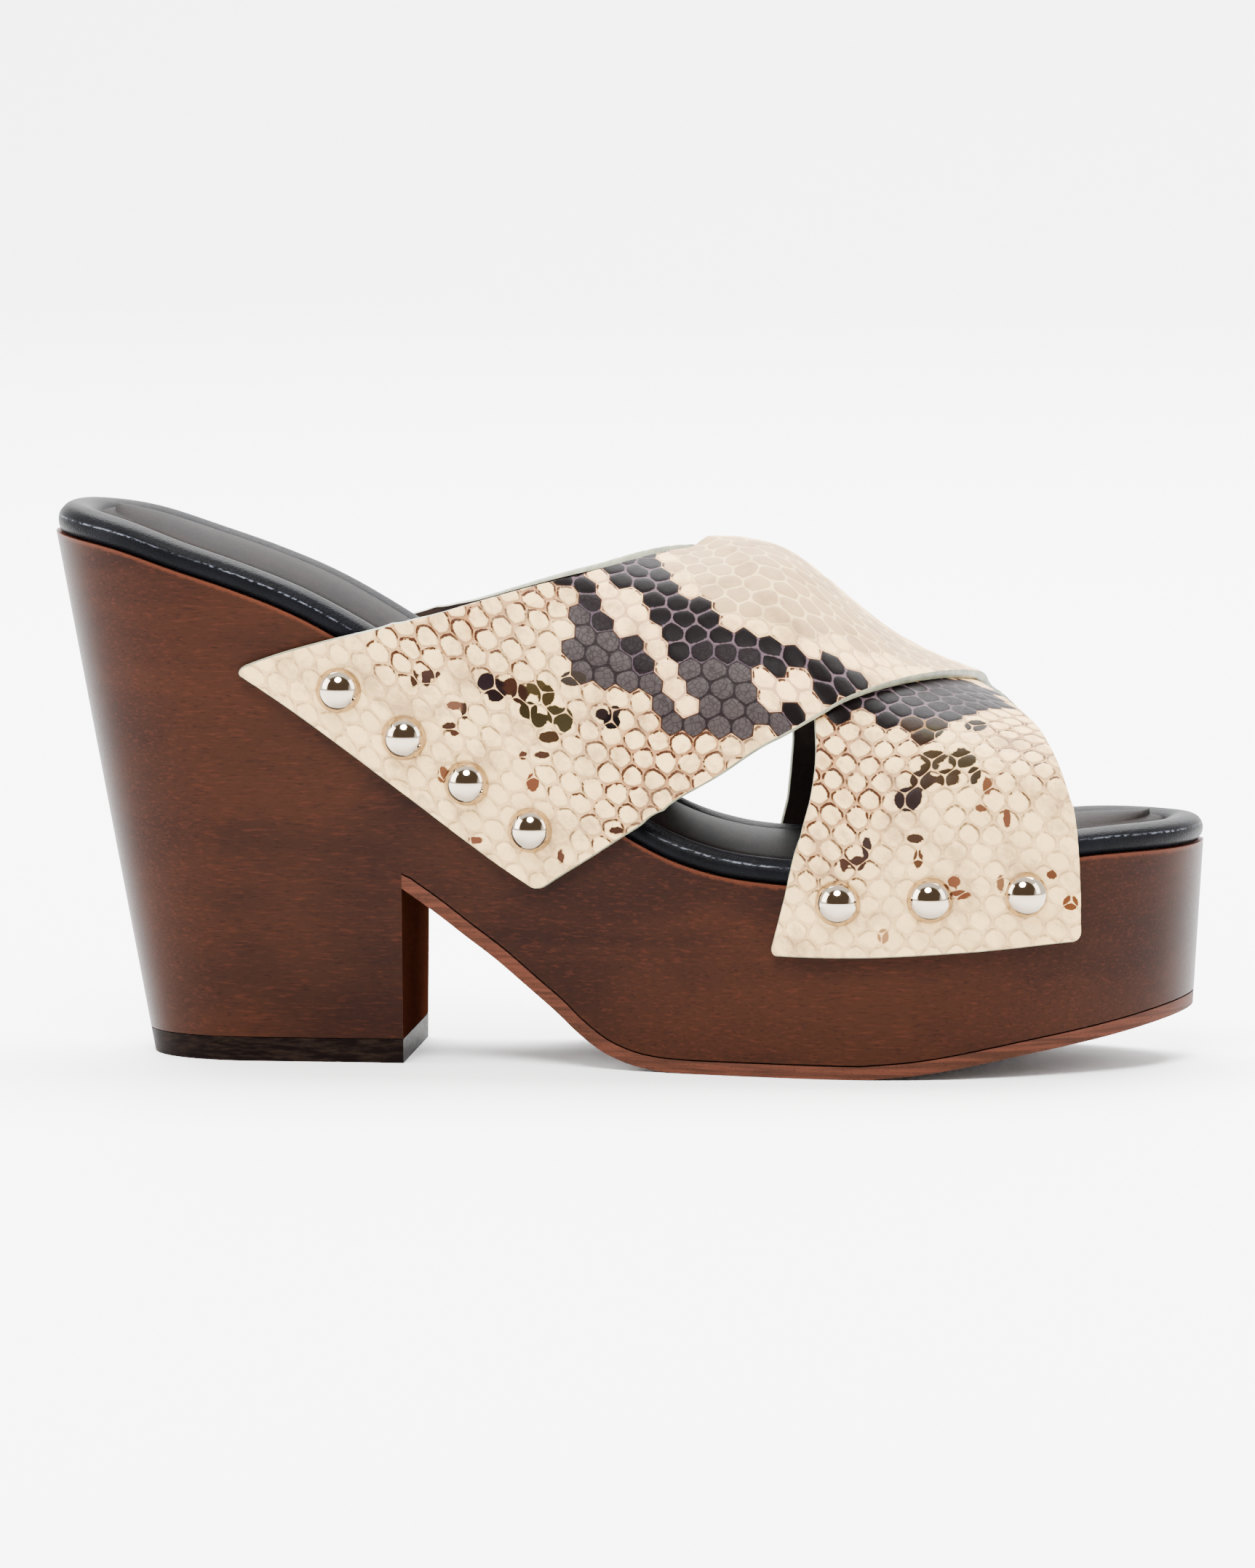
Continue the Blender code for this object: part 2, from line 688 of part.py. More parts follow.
def make_materials():
    for name, (colour, roughness, metallic) in MATERIALS.items():
        material = bpy.data.materials.new(name)
        material.use_nodes = True
        shader = material.node_tree.nodes["Principled BSDF"]
        shader.inputs["Base Color"].default_value = (*colour, 1.0)
        shader.inputs["Roughness"].default_value = roughness
        shader.inputs["Metallic"].default_value = metallic


def centre_on_floor():
    """Slide the whole shoe so that the middle of its bounding box is over the origin."""
    graph = bpy.context.evaluated_depsgraph_get()
    low = Vector((math.inf,) * 3)
    high = Vector((-math.inf,) * 3)
    for thing in bpy.data.objects:
        if thing.hide_render:
            continue
        for vertex in thing.evaluated_get(graph).data.vertices:
            place = thing.matrix_world @ vertex.co
            low = Vector(map(min, low, place))
            high = Vector(map(max, high, place))
    slide = (low + high) / 2
    for thing in bpy.data.objects:
        thing.location -= Vector((slide.x, slide.y, 0))


def main():
    for thing in list(bpy.data.objects):
        bpy.data.objects.remove(thing)
    make_materials()
    wood = make_wood_sole()
    make_outsole()
    make_heel_lift()
    make_footbed()
    make_sock()
    upper = make_upper()
    bores = make_studs()
    drill(wood, bores)
    drill(upper, bores)
    centre_on_floor()


main()
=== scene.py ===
import math

import bmesh
import bpy
import numpy as np
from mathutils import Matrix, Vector


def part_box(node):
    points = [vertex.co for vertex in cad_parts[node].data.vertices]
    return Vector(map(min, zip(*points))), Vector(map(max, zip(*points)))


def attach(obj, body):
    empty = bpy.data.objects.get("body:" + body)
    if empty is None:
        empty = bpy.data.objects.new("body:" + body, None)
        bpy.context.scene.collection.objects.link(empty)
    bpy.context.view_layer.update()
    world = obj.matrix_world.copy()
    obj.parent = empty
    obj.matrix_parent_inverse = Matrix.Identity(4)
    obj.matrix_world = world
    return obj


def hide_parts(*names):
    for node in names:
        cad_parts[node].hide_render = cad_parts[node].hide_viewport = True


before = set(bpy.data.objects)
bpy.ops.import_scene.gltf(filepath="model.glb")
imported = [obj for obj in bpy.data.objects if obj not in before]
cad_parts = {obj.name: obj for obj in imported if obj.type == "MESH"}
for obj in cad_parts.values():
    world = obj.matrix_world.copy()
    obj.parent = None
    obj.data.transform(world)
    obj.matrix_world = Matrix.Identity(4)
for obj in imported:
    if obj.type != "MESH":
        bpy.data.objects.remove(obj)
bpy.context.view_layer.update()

LATERAL = -1
MEDIAL = 1
SIDES = (LATERAL, MEDIAL)

# Overall form of the wood, in metres
SHOE_LENGTH = 0.231
BALL_WIDTH = 0.088
SEAT_HEIGHT = 0.1050
PLATFORM_HEIGHT = 0.0382
ARCH_HEIGHT = 0.0355
TOE_SPRING = 0.0110
HEEL_DEPTH = 0.0725
HEEL_TAPER = 0.27
TOE_TAPER = 0.035
WOOD_ROUND = 0.0010
# Where the sawn faces begin: above the floor under the arch, and ahead of the heel's breast
SAWN_ABOVE = 0.008
SAWN_AHEAD = 0.004

# Layers that lie on and under the wood
CONTACT_GAP = 0.0003
OUTSOLE_THICKNESS = 0.0026
LIFT_THICKNESS = 0.0048
SLAB_ROUND = 0.0004
RAND_HEIGHT = 0.0049
RAND_WIDTH = 0.0075
RAND_INSET = 0.0002
FOOTBED_FLOOR = 0.0016
SOCK_CLEARANCE = 0.0003
SOCK_EDGE_HEIGHT = 0.0040
SOCK_CROWN = 0.0012

# The straps and the domed nails
STRAP_WALL = 0.0018
STRAP_RAMP = 0.0080
STRAP_GAP = 0.00008
SHOULDER_RISE = 0.0100
INSTEP_HEIGHT = 0.0620
ARCH_POWER = 2.25
CORNER_ROUND = 0.0014
STUD_RADIUS = 0.0046
STUD_HEIGHT = 0.0038
REAR_STUD_INSET = 0.0092
FRONT_STUD_INSET = 0.0100

# Shares along SHOE_LENGTH, from the back of the heel to the tip of the toe
BALL_AT = 0.72
CONTACT_REAR_AT = 0.565
CONTACT_FRONT_AT = 0.716
CREST_AT = 0.02

PLAN = (
    # at,    spine, lateral, medial
    (0.00, 0.022, 0.350, 0.350), (0.15, 0.022, 0.372, 0.372), (0.30, 0.020, 0.385, 0.350),
    (0.45, 0.012, 0.420, 0.345), (0.60, 0.004, 0.475, 0.400), (0.72, 0.006, 0.515, 0.450),
    (0.82, 0.018, 0.525, 0.390), (0.92, 0.045, 0.525, 0.310), (1.00, 0.062, 0.525, 0.270),
)
HEEL_CAP = (0.135, 2.3)
TOE_CAP = {LATERAL: (0.290, 2.2), MEDIAL: (0.290, 2.2)}

TOP_LINE = (
    (0.000, 1.006), (0.067, 0.966), (0.119, 0.909), (0.171, 0.850), (0.223, 0.778), (0.266, 0.699),
    (0.327, 0.566), (0.413, 0.349), (0.500, 0.154), (0.543, 0.076), (0.587, 0.028), (0.639, 0.004),
    (0.695, 0.000), (0.803, 0.033), (0.903, 0.080), (1.000, 0.084),
)
ARCH_LINE = (
    (0.00, 1.000), (0.12, 0.862), (0.22, 0.738), (0.33, 0.605), (0.44, 0.455), (0.54, 0.318), (0.62, 0.198),
    (0.70, 0.105), (0.78, 0.048), (0.88, 0.012), (1.00, 0.000),
)
TOE_LINE = (
    (0.00, 0.000), (0.15, 0.075), (0.50, 0.430), (0.72, 0.655), (1.00, 1.000),
)
RIM_LINE = (
    (0.00, 1.28), (0.10, 1.12), (0.35, 1.04), (0.60, 0.94), (0.80, 0.98), (1.00, 1.04),
)
CREST_LINE = (
    (0.10, 1.300), (0.25, 1.230), (0.40, 1.110), (0.50, 1.035), (0.56, 1.012), (0.60, 1.005), (0.63, 0.975),
    (0.66, 0.895), (0.69, 0.800), (0.72, 0.715), (0.76, 0.635), (0.80, 0.578), (0.84, 0.515), (0.90, 0.440),
    (1.00, 0.360),
)
OVER_STRAP = (
    # rear edge: at, girth; front edge: at, girth
    (0.1716, -1.245, 0.4356, -1.470), (0.2450, -1.130, 0.4815, -1.295), (0.3048, -1.010, 0.5213, -1.120),
    (0.3335, -0.900, 0.5467, -1.000), (0.3797, -0.700, 0.6054, -0.870), (0.4230, -0.540, 0.6635, -0.720),
    (0.4713, -0.380, 0.6969, -0.580), (0.5235, -0.190, 0.7505, -0.310), (0.5680, 0.000, 0.7900, -0.050),
    (0.5955, 0.190, 0.8105, 0.145), (0.6140, 0.380, 0.8260, 0.340), (0.6275, 0.565, 0.8390, 0.530),
    (0.6360, 0.750, 0.8500, 0.720), (0.6330, 0.925, 0.8562, 0.900), (0.6250, 1.100, 0.8610, 1.080),
    (0.6150, 1.300, 0.8640, 1.290), (0.6030, 1.500, 0.8660, 1.500),
)
UNDER_STRAP = (
    # rear edge: at, girth; front edge: at, girth
    (0.1793, -1.245, 0.4356, -1.470), (0.2560, -1.130, 0.4815, -1.295), (0.3135, -1.010, 0.5225, -1.120),
    (0.3430, -0.900, 0.5480, -1.000), (0.3886, -0.700, 0.6080, -0.870), (0.4300, -0.540, 0.6620, -0.700),
    (0.4745, -0.380, 0.7060, -0.500), (0.5240, -0.190, 0.7640, -0.250), (0.5740, 0.000, 0.8120, 0.000),
    (0.6160, 0.190, 0.8410, 0.160), (0.6480, 0.380, 0.8601, 0.320), (0.6690, 0.565, 0.8735, 0.520),
    (0.6780, 0.750, 0.8830, 0.720), (0.6755, 0.900, 0.8893, 0.900), (0.6628, 1.050, 0.8955, 1.080),
    (0.6523, 1.270, 0.8983, 1.285), (0.6406, 1.490, 0.8987, 1.490),
)
REAR_STUDS = (0.256, 0.472, 0.680, 0.892)
FRONT_STUDS = (0.232, 0.528, 0.831)

# Mesh density
HEEL_STATIONS = 40
FRONT_STATIONS = 130
WELD = 0.00002


def smooth_table(rows, column, at):
    """Value of a table's column at a share, by a cubic through its rows."""
    xs = np.array([row[0] for row in rows])
    ys = np.array([row[column] for row in rows])
    slopes = np.gradient(ys, xs)
    at = np.clip(np.asarray(at, float), xs[0], xs[-1])
    k = np.clip(np.searchsorted(xs, at) - 1, 0, len(xs) - 2)
    width = xs[k + 1] - xs[k]
    u = (at - xs[k]) / width
    value = (1 + 2 * u) * (1 - u) ** 2 * ys[k] + u * (1 - u) ** 2 * width * slopes[k]
    return value + u * u * (3 - 2 * u) * ys[k + 1] + u * u * (u - 1) * width * slopes[k + 1]


def fade(x, start, end):
    u = np.clip((x - start) / (end - start), 0, 1)
    return u * u * (3 - 2 * u)


def x_at(share):
    return (share - 0.5) * SHOE_LENGTH


def share_at(x):
    return x / SHOE_LENGTH + 0.5


BREAST_X = x_at(0) + HEEL_DEPTH
BALL_X = x_at(BALL_AT)


def top_z(x):
    rise = smooth_table(TOP_LINE, 1, share_at(x))
    return PLATFORM_HEIGHT + rise * (SEAT_HEIGHT - PLATFORM_HEIGHT)


def ground_z(x):
    rear = x_at(CONTACT_REAR_AT)
    front = x_at(CONTACT_FRONT_AT)
    arch = smooth_table(ARCH_LINE, 1, (x - BREAST_X) / (rear - BREAST_X))
    toe = smooth_table(TOE_LINE, 1, (x - front) / (x_at(1) - front))
    return np.where(x < rear, arch * ARCH_HEIGHT, np.where(x > front, toe * TOE_SPRING, 0.0))


def slope_of(curve, x):
    step = 0.0005
    return (curve(x + step) - curve(x - step)) / (2 * step)


def stretch(curve, x):
    return np.sqrt(1 + slope_of(curve, x) ** 2)


def outsole_top_z(x):
    return ground_z(x) + OUTSOLE_THICKNESS * stretch(ground_z, x)


def wood_under_z(x):
    return ground_z(x) + (OUTSOLE_THICKNESS + CONTACT_GAP) * stretch(ground_z, x)


def end_cap(share, length, power):
    return (1 - (1 - np.clip(share / length, 0, 1)) ** power) ** (1 / power)


def heel_scale(z):
    return 1 - HEEL_TAPER * (SEAT_HEIGHT - z) / SEAT_HEIGHT


def toe_scale(z):
    return 1 - TOE_TAPER * (PLATFORM_HEIGHT - z) / PLATFORM_HEIGHT


def leaned_x(x, z):
    heel = BREAST_X + (x - BREAST_X) * heel_scale(z)
    toe = BALL_X + (x - BALL_X) * toe_scale(z)
    return np.where(x < BREAST_X, heel, np.where(x > BALL_X, toe, x))


def station_x(x, z):
    heel = BREAST_X + (x - BREAST_X) / heel_scale(z)
    toe = BALL_X + (x - BALL_X) / toe_scale(z)
    return np.where(x < BREAST_X, heel, np.where(x > BALL_X, toe, x))


def plan_y(side, station, z, inset=0.0):
    share = share_at(station)
    spine = smooth_table(PLAN, 1, share) * BALL_WIDTH
    half = smooth_table(PLAN, 2 if side == LATERAL else 3, share) * BALL_WIDTH
    cap = end_cap(share, *HEEL_CAP) * end_cap(1 - share, *TOE_CAP[side])
    heel_share = 1 - fade(station, BREAST_X, BALL_X)
    toe_share = fade(station, BALL_X, x_at(1))
    heel_half = 1 - (1 - heel_scale(z)) * heel_share
    toe_half = 1 - (1 - toe_scale(z)) * toe_share
    return spine + side * (half * cap * heel_half * toe_half - inset)


def wall_y(side, x, z):
    return plan_y(side, station_x(x, z), z)


def plan_stations():
    heel = x_at(0) + HEEL_DEPTH * (1 - np.cos(np.linspace(0, math.pi / 2, HEEL_STATIONS + 1)))
    front = BREAST_X + (x_at(1) - BREAST_X) * np.sin(np.linspace(0, math.pi / 2, FRONT_STATIONS + 1))
    return heel, front


def height_on(curve, station):
    z = curve(station)
    for _ in range(12):
        z = curve(leaned_x(station, z))
    return z


def wall_patches(stations, high, low, rows):
    """Grids of points on both side walls, from one height down to another."""
    share = np.linspace(0, 1, rows + 1)[:, None]
    z = (1 - share) * high[None, :] + share * low[None, :]
    x = leaned_x(stations[None, :], z)
    return [np.stack([x, plan_y(side, stations[None, :], z), z], axis=-1) for side in SIDES]


def across(walls, part, cells=20):
    """A grid between the same part of the lateral and of the medial wall."""
    share = np.linspace(0, 1, cells + 1)[:, None, None]
    return (1 - share) * walls[0][part][None] + share * walls[1][part][None]


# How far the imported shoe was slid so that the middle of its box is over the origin
LIFT_LOW, LIFT_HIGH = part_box("heel_lift")
SLIDE = Vector((
    LIFT_HIGH.x - BREAST_X,
    LIFT_LOW.y - float(plan_y(LATERAL, BREAST_X, LIFT_THICKNESS)),
    0.0,
))


def link(name, bm, materials, smooth_angle=None):
    """A mesh object from a bmesh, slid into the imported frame."""
    bmesh.ops.translate(bm, verts=bm.verts, vec=SLIDE)
    mesh = bpy.data.meshes.new(name)
    bm.to_mesh(mesh)
    bm.free()
    mesh.shade_smooth()
    if smooth_angle:
        mesh.set_sharp_from_angle(angle=math.radians(smooth_angle))
    for material in materials:
        mesh.materials.append(material)
    thing = bpy.data.objects.new(name, mesh)
    bpy.context.scene.collection.objects.link(thing)
    return thing


def solid_from(patches):
    """A closed bmesh from grids of points whose edges meet."""
    bm = bmesh.new()
    for grid in patches:
        rows, columns = grid.shape[:2]
        verts = [[bm.verts.new(grid[i, j]) for j in range(columns)] for i in range(rows)]
        for high, low in zip(verts, verts[1:]):
            for j in range(columns - 1):
                bm.faces.new((high[j], high[j + 1], low[j + 1], low[j]))
    bmesh.ops.remove_doubles(bm, verts=bm.verts, dist=WELD)
    bmesh.ops.dissolve_degenerate(bm, edges=bm.edges, dist=WELD)
    bmesh.ops.recalc_face_normals(bm, faces=bm.faces)
    return bm


def round_edges(thing, width, segments):
    rounding = thing.modifiers.new("edge_round", "BEVEL")
    rounding.width = width
    rounding.segments = segments
    rounding.limit_method = "ANGLE"
    rounding.angle_limit = math.radians(50)
    rounding.harden_normals = True


def mesh_places(thing):
    """Places of a mesh's vertices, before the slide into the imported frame."""
    places = np.zeros(len(thing.data.vertices) * 3)
    thing.data.vertices.foreach_get("co", places)
    return places.reshape(-1, 3) - np.array(SLIDE)


def write_values(mesh, name, values, kind="FLOAT", where="POINT"):
    """Writes an attribute of a mesh: numbers, colours or vectors."""
    layer = mesh.attributes.new(name, kind, where)
    key = {"FLOAT": "value", "FLOAT_COLOR": "color", "FLOAT_VECTOR": "vector"}[kind]
    layer.data.foreach_set(key, np.asarray(values, np.float32).ravel())


def make_wood(material, sawn):
    heel, front = plan_stations()
    stations = np.concatenate([heel, front[1:]])
    at_breast = len(heel) - 1
    breast_z = float(wood_under_z(BREAST_X))
    split = np.where(stations < BREAST_X, breast_z, height_on(wood_under_z, stations))
    split[at_breast] = breast_z
    foot = np.full(len(heel), LIFT_THICKNESS + CONTACT_GAP / 2)
    upper = wall_patches(stations, height_on(top_z, stations), split, 10)
    lower = wall_patches(heel, split[: at_breast + 1], foot, 24)
    wood = link("wood_body", solid_from([
        *upper, *lower, across(upper, 0), across(upper, np.s_[-1, at_breast:]),
        across(lower, -1), across(lower, np.s_[:, -1]),
    ]), [material, sawn])
    places = mesh_places(wood)
    write_values(wood.data, "below_top_mm", (top_z(places[:, 0]) - places[:, 2]) * 1000)
    for face in wood.data.polygons:
        under = face.normal.z < -0.3 and face.center.z - SLIDE.z > SAWN_ABOVE
        at_front = face.normal.x > 0.8 and face.center.x - SLIDE.x < BREAST_X + SAWN_AHEAD
        face.material_index = int(under or at_front)
    round_edges(wood, WOOD_ROUND, 3)
    return wood


def make_slab(name, stations, high, low, material):
    walls = wall_patches(stations, high, low, 2)
    ends = [across(walls, part) for part in (0, -1, np.s_[:, 0], np.s_[:, -1])]
    slab = link(name, solid_from([*walls, *ends]), [material])
    round_edges(slab, SLAB_ROUND, 2)
    return slab


def make_outsole(material):
    stations = plan_stations()[1]
    top, under = (height_on(curve, stations) for curve in (outsole_top_z, ground_z))
    return make_slab("outsole_sheet", stations, top, under, material)


def make_heel_lift(material):
    stations = plan_stations()[0]
    high = np.full(len(stations), LIFT_THICKNESS)
    return make_slab("heel_tread", stations, high, np.zeros(len(stations)), material)


def footbed_ring(side, inset, height):
    """Points round one side of the footbed, at a distance in from the wood's edge and above its top."""
    heel, front = plan_stations()
    stations = np.concatenate([heel, front[1:]])
    z = height_on(top_z, stations)
    x = leaned_x(stations, z)
    y = plan_y(side, stations, z)
    tangent = np.stack([np.gradient(x), np.gradient(y)], axis=-1)
    tangent[0] = (0, side)
    tangent[-1] = (0, -side)
    tangent /= np.linalg.norm(tangent, axis=1)[:, None]
    x = x + side * tangent[:, 1] * inset
    y = y - side * tangent[:, 0] * inset
    steep = stretch(top_z, x)
    height = CONTACT_GAP + (height - CONTACT_GAP) * smooth_table(RIM_LINE, 1, share_at(x))
    return np.stack([x - slope_of(top_z, x) / steep * height, y, top_z(x) + height / steep], axis=-1)


def footbed_solid(profile, crown_height, cells=30):
    walls = [np.stack([footbed_ring(side, *point) for point in profile]) for side in SIDES]
    crown = across(walls, -1, cells)
    share = np.linspace(0, 1, cells + 1)
    crown[:, :, 2] += (crown_height * (1 - (2 * share - 1) ** 2))[:, None]
    return solid_from([*walls, across(walls, 0, cells), crown])


def curve_through(points, steps):
    """More points on a smooth curve through some points."""
    rows = [(k, *point) for k, point in enumerate(points)]
    at = np.linspace(0, len(points) - 1, steps)
    return list(zip(smooth_table(rows, 1, at), smooth_table(rows, 2, at)))


# The rolled rim: shares of its width and of its height
RIM_ROLL = ((0.10, 0.0), (0.0, 0.22), (0.0, 0.55), (0.14, 0.85), (0.45, 1.0), (0.80, 0.88), (1.0, 0.62))


def make_rim(material):
    rim = [(RAND_INSET + wide * RAND_WIDTH, CONTACT_GAP + high * RAND_HEIGHT) for wide, high in RIM_ROLL]
    rim.append((RAND_INSET + RAND_WIDTH, CONTACT_GAP + FOOTBED_FLOOR))
    thing = link("footbed_rim", footbed_solid(curve_through(rim, 29), 0.0), [material])
    places = mesh_places(thing)
    write_values(thing.data, "above_top_mm", (places[:, 2] - top_z(places[:, 0])) * 1000)
    return thing


def make_sock(material):
    edge = RAND_INSET + RAND_WIDTH + 0.5 * SOCK_CLEARANCE
    soft = 0.25 * RAND_WIDTH
    rim = curve_through([
        (edge, CONTACT_GAP + FOOTBED_FLOOR + CONTACT_GAP),
        (edge, CONTACT_GAP + 0.80 * SOCK_EDGE_HEIGHT),
        (edge + 0.4 * soft, CONTACT_GAP + SOCK_EDGE_HEIGHT),
        (edge + 1.6 * soft, CONTACT_GAP + 1.12 * SOCK_EDGE_HEIGHT),
    ], 14)
    return link("footbed_sock", footbed_solid(rim, SOCK_CROWN), [material])


def shoulder_z(x):
    return top_z(x) + SHOULDER_RISE


def crest_z(x):
    return PLATFORM_HEIGHT + smooth_table(CREST_LINE, 1, share_at(x)) * INSTEP_HEIGHT


def last_point(x, girth):
    """Point on the inside of the upper, from the floor on one side, over the instep, to the other side."""
    x = np.asarray(x, float)
    girth = np.asarray(girth, float)
    size = np.abs(girth)
    shoulder = shoulder_z(x)
    turn = np.clip(1 - size, 0, 1) * math.pi / 2
    arch_z = shoulder + (crest_z(x) - shoulder) * np.sin(turn) ** (2 / ARCH_POWER)
    z = np.where(size > 1, shoulder * (2 - size), arch_z)
    held_z = np.minimum(z, shoulder)
    ridge_y = CREST_AT * BALL_WIDTH
    reach = np.where(size > 1, 1.0, np.abs(np.cos(turn)) ** (2 / ARCH_POWER))
    sides = [wall_y(s, x, held_z) + s * CONTACT_GAP for s in (LATERAL, MEDIAL)]
    wall = np.where(girth < 0, sides[0], sides[1])
    return np.stack([x, ridge_y + (wall - ridge_y) * reach, z], axis=-1)


def numbered(pattern):
    """A strap's rows with their share along it in front."""
    return [(share, *row) for share, row in zip(np.linspace(0, 1, len(pattern)), pattern)]


def strap_places(pattern, side, along, wide):
    rows = numbered(pattern)
    rear_x, rear_g, front_x, front_g = (smooth_table(rows, c, along) for c in (1, 2, 3, 4))
    x = x_at((1 - wide) * rear_x + wide * front_x)
    return x, ((1 - wide) * rear_g + wide * front_g) * (-side)


# The corner rounding as shares of a strap's length and of its width
LONG_ROUND = CORNER_ROUND / (0.9 * BALL_WIDTH + INSTEP_HEIGHT)
WIDE_ROUND = CORNER_ROUND / (0.7 * BALL_WIDTH)


def strap_domain(cells_long, cells_wide):
    turn = np.linspace(0, 1, 5)[:-1] ** 1.5 * LONG_ROUND
    inner = np.linspace(LONG_ROUND, 1 - LONG_ROUND, cells_long - 7)
    along = np.concatenate([turn, inner, 1 - turn[::-1]])
    from_end = np.minimum(along, 1 - along)
    cut = WIDE_ROUND * (1 - np.sqrt(1 - np.clip(1 - from_end / LONG_ROUND, 0, 1) ** 2))
    wide = np.linspace(0, 1, cells_wide + 1)
    return np.broadcast_to(along, (cells_wide + 1, len(along))), cut + wide[:, None] * (1 - 2 * cut)


def strap_edge(pattern, side, girth, front):
    rows = [(row[3], row[2]) if front else (row[1], row[0]) for row in pattern]
    return x_at(smooth_table(rows, 1, -side * girth))


def over_share(x, girth):
    rear = strap_edge(UNDER_STRAP, MEDIAL, girth, False)
    front = strap_edge(UNDER_STRAP, MEDIAL, girth, True)
    return fade(x, rear - STRAP_RAMP, rear) * (1 - fade(x, front, front + STRAP_RAMP))


def upper_frame(x, girth):
    """Points on the inside of the upper and the outward normals there."""
    step_x, step_g = 0.0004, 0.004
    points = last_point(x, girth)
    along = last_point(x + step_x, girth) - last_point(x - step_x, girth)
    around = last_point(x, girth + step_g) - last_point(x, girth - step_g)
    normal = np.cross(along, around)
    return points, normal / np.linalg.norm(normal, axis=-1)[..., None]


# Lengths round the upper from its ridge, for many sections. They are negative on the lateral side.
SECTIONS_X = np.linspace(x_at(0.10), x_at(0.97), 260)
SECTIONS_GIRTH = np.linspace(-1.8, 1.8, 721)


def section_lengths():
    x, girth = np.broadcast_arrays(SECTIONS_X[:, None], SECTIONS_GIRTH[None, :])
    steps = np.linalg.norm(np.diff(last_point(x, girth)[..., 1:], axis=1), axis=-1)
    length = np.concatenate([np.zeros((len(SECTIONS_X), 1)), np.cumsum(steps, axis=1)], axis=1)
    return length - length[:, [len(SECTIONS_GIRTH) // 2]]


SECTIONS_LENGTH = section_lengths()


def by_sections(x, values, read):
    """Reads values off the two sections beside each place and blends them by how near the sections are."""
    at = np.clip((x - SECTIONS_X[0]) / (SECTIONS_X[1] - SECTIONS_X[0]), 0, len(SECTIONS_X) - 1.001)
    k = at.astype(int)
    share = at - k
    result = np.zeros_like(x)
    for row in np.unique(k):
        here = k == row
        near, far = (read(values[here], SECTIONS_LENGTH[n]) for n in (row, row + 1))
        result[here] = (1 - share[here]) * near + share[here] * far
    return result


def girth_at(x, length):
    """The girth of places that lie at a length round the upper from its ridge."""
    return by_sections(x, length, lambda value, lengths: np.interp(value, lengths, SECTIONS_GIRTH))


def length_at(x, girth):
    """The length round the upper from its ridge, which undoes girth_at."""
    return by_sections(x, girth, lambda value, lengths: np.interp(value, SECTIONS_GIRTH, lengths))


def strap_shares(pattern, side, x, girth):
    """Shares along and across a strap of places on the upper. It undoes strap_places and runs on past the edges."""
    rows = numbered(pattern)

    def columns(at):
        near = 0.002
        end = np.where(at < 0.5, near, 1 - near)
        held = np.clip(at, 0, 1)
        for c in (1, 2, 3, 4):
            slope = (smooth_table(rows, c, end + near) - smooth_table(rows, c, end - near)) / (2 * near)
            yield smooth_table(rows, c, held) + slope * (at - held)

    want_x, want_g = share_at(x), girth * (-side)
    along = np.clip((want_g + 1.35) / 2.85, 0, 1)
    wide = np.full_like(along, 0.5)
    step = 0.001
    for _ in range(16):
        here = list(columns(along))
        ahead = [(after - now) / step for after, now in zip(columns(along + step), here)]
        rear_x, rear_g, front_x, front_g = here
        miss_x = (1 - wide) * rear_x + wide * front_x - want_x
        miss_g = (1 - wide) * rear_g + wide * front_g - want_g
        xa = (1 - wide) * ahead[0] + wide * ahead[2]
        ga = (1 - wide) * ahead[1] + wide * ahead[3]
        xw, gw = front_x - rear_x, front_g - rear_g
        scale = xa * gw - xw * ga
        along = np.clip(along - (miss_x * gw - miss_g * xw) / scale, -0.4, 1.4)
        wide = np.clip(wide - (xa * miss_g - ga * miss_x) / scale, -0.6, 1.6)
    return along, wide, np.hypot(miss_x, miss_g)


# The side drawing that the snake print is charted in: where a point of the shoe lies in it, from the point's
# place in metres. The charts below were read off it.
DRAWING_TURN = math.radians(5.0)
DRAWING_TILT = math.radians(5.2)
DRAWING_FAR = 2.2
DRAWING_MIDDLE = (862, 1060)
POINTS_PER_MM = 6.82


def drawing_place(points):
    turn, level = (math.cos(DRAWING_TURN), math.sin(DRAWING_TURN)), math.cos(DRAWING_TILT)
    right = np.array((*turn, 0.0))
    look = np.array((-turn[1] * level, turn[0] * level, -math.sin(DRAWING_TILT)))
    from_middle = points - np.array((0, 0, 0.057))
    scale = 1000 * POINTS_PER_MM * DRAWING_FAR / (DRAWING_FAR + from_middle @ look)
    u, v = DRAWING_MIDDLE
    return np.stack([u + from_middle @ right * scale, v - from_middle @ np.cross(right, look) * scale], axis=-1)



def drawn_from(u, v):
    """Place along the shoe and length round the upper, of the spot of its lateral side that is drawn at (u, v)."""
    x, girth = np.meshgrid(np.linspace(x_at(0.15), x_at(0.92), 500), np.linspace(-1.55, 0, 500))
    miss = np.linalg.norm(drawing_place(last_point(x, girth)) - np.array((u, v)), axis=-1)
    best = np.unravel_index(miss.argmin(), miss.shape)
    return float(x[best]), float(length_at(x[best][None], girth[best][None])[0])


def inside(outline, places):
    """Which places lie inside a closed outline."""
    hit = np.zeros(len(places), bool)
    for (u0, v0), (u1, v1) in zip(outline, outline[1:] + outline[:1]):
        if v0 == v1:
            continue
        crosses = (v0 > places[:, 1]) != (v1 > places[:, 1])
        hit ^= crosses & (places[:, 0] < u0 + (places[:, 1] - v0) * (u1 - u0) / (v1 - v0))
    return hit


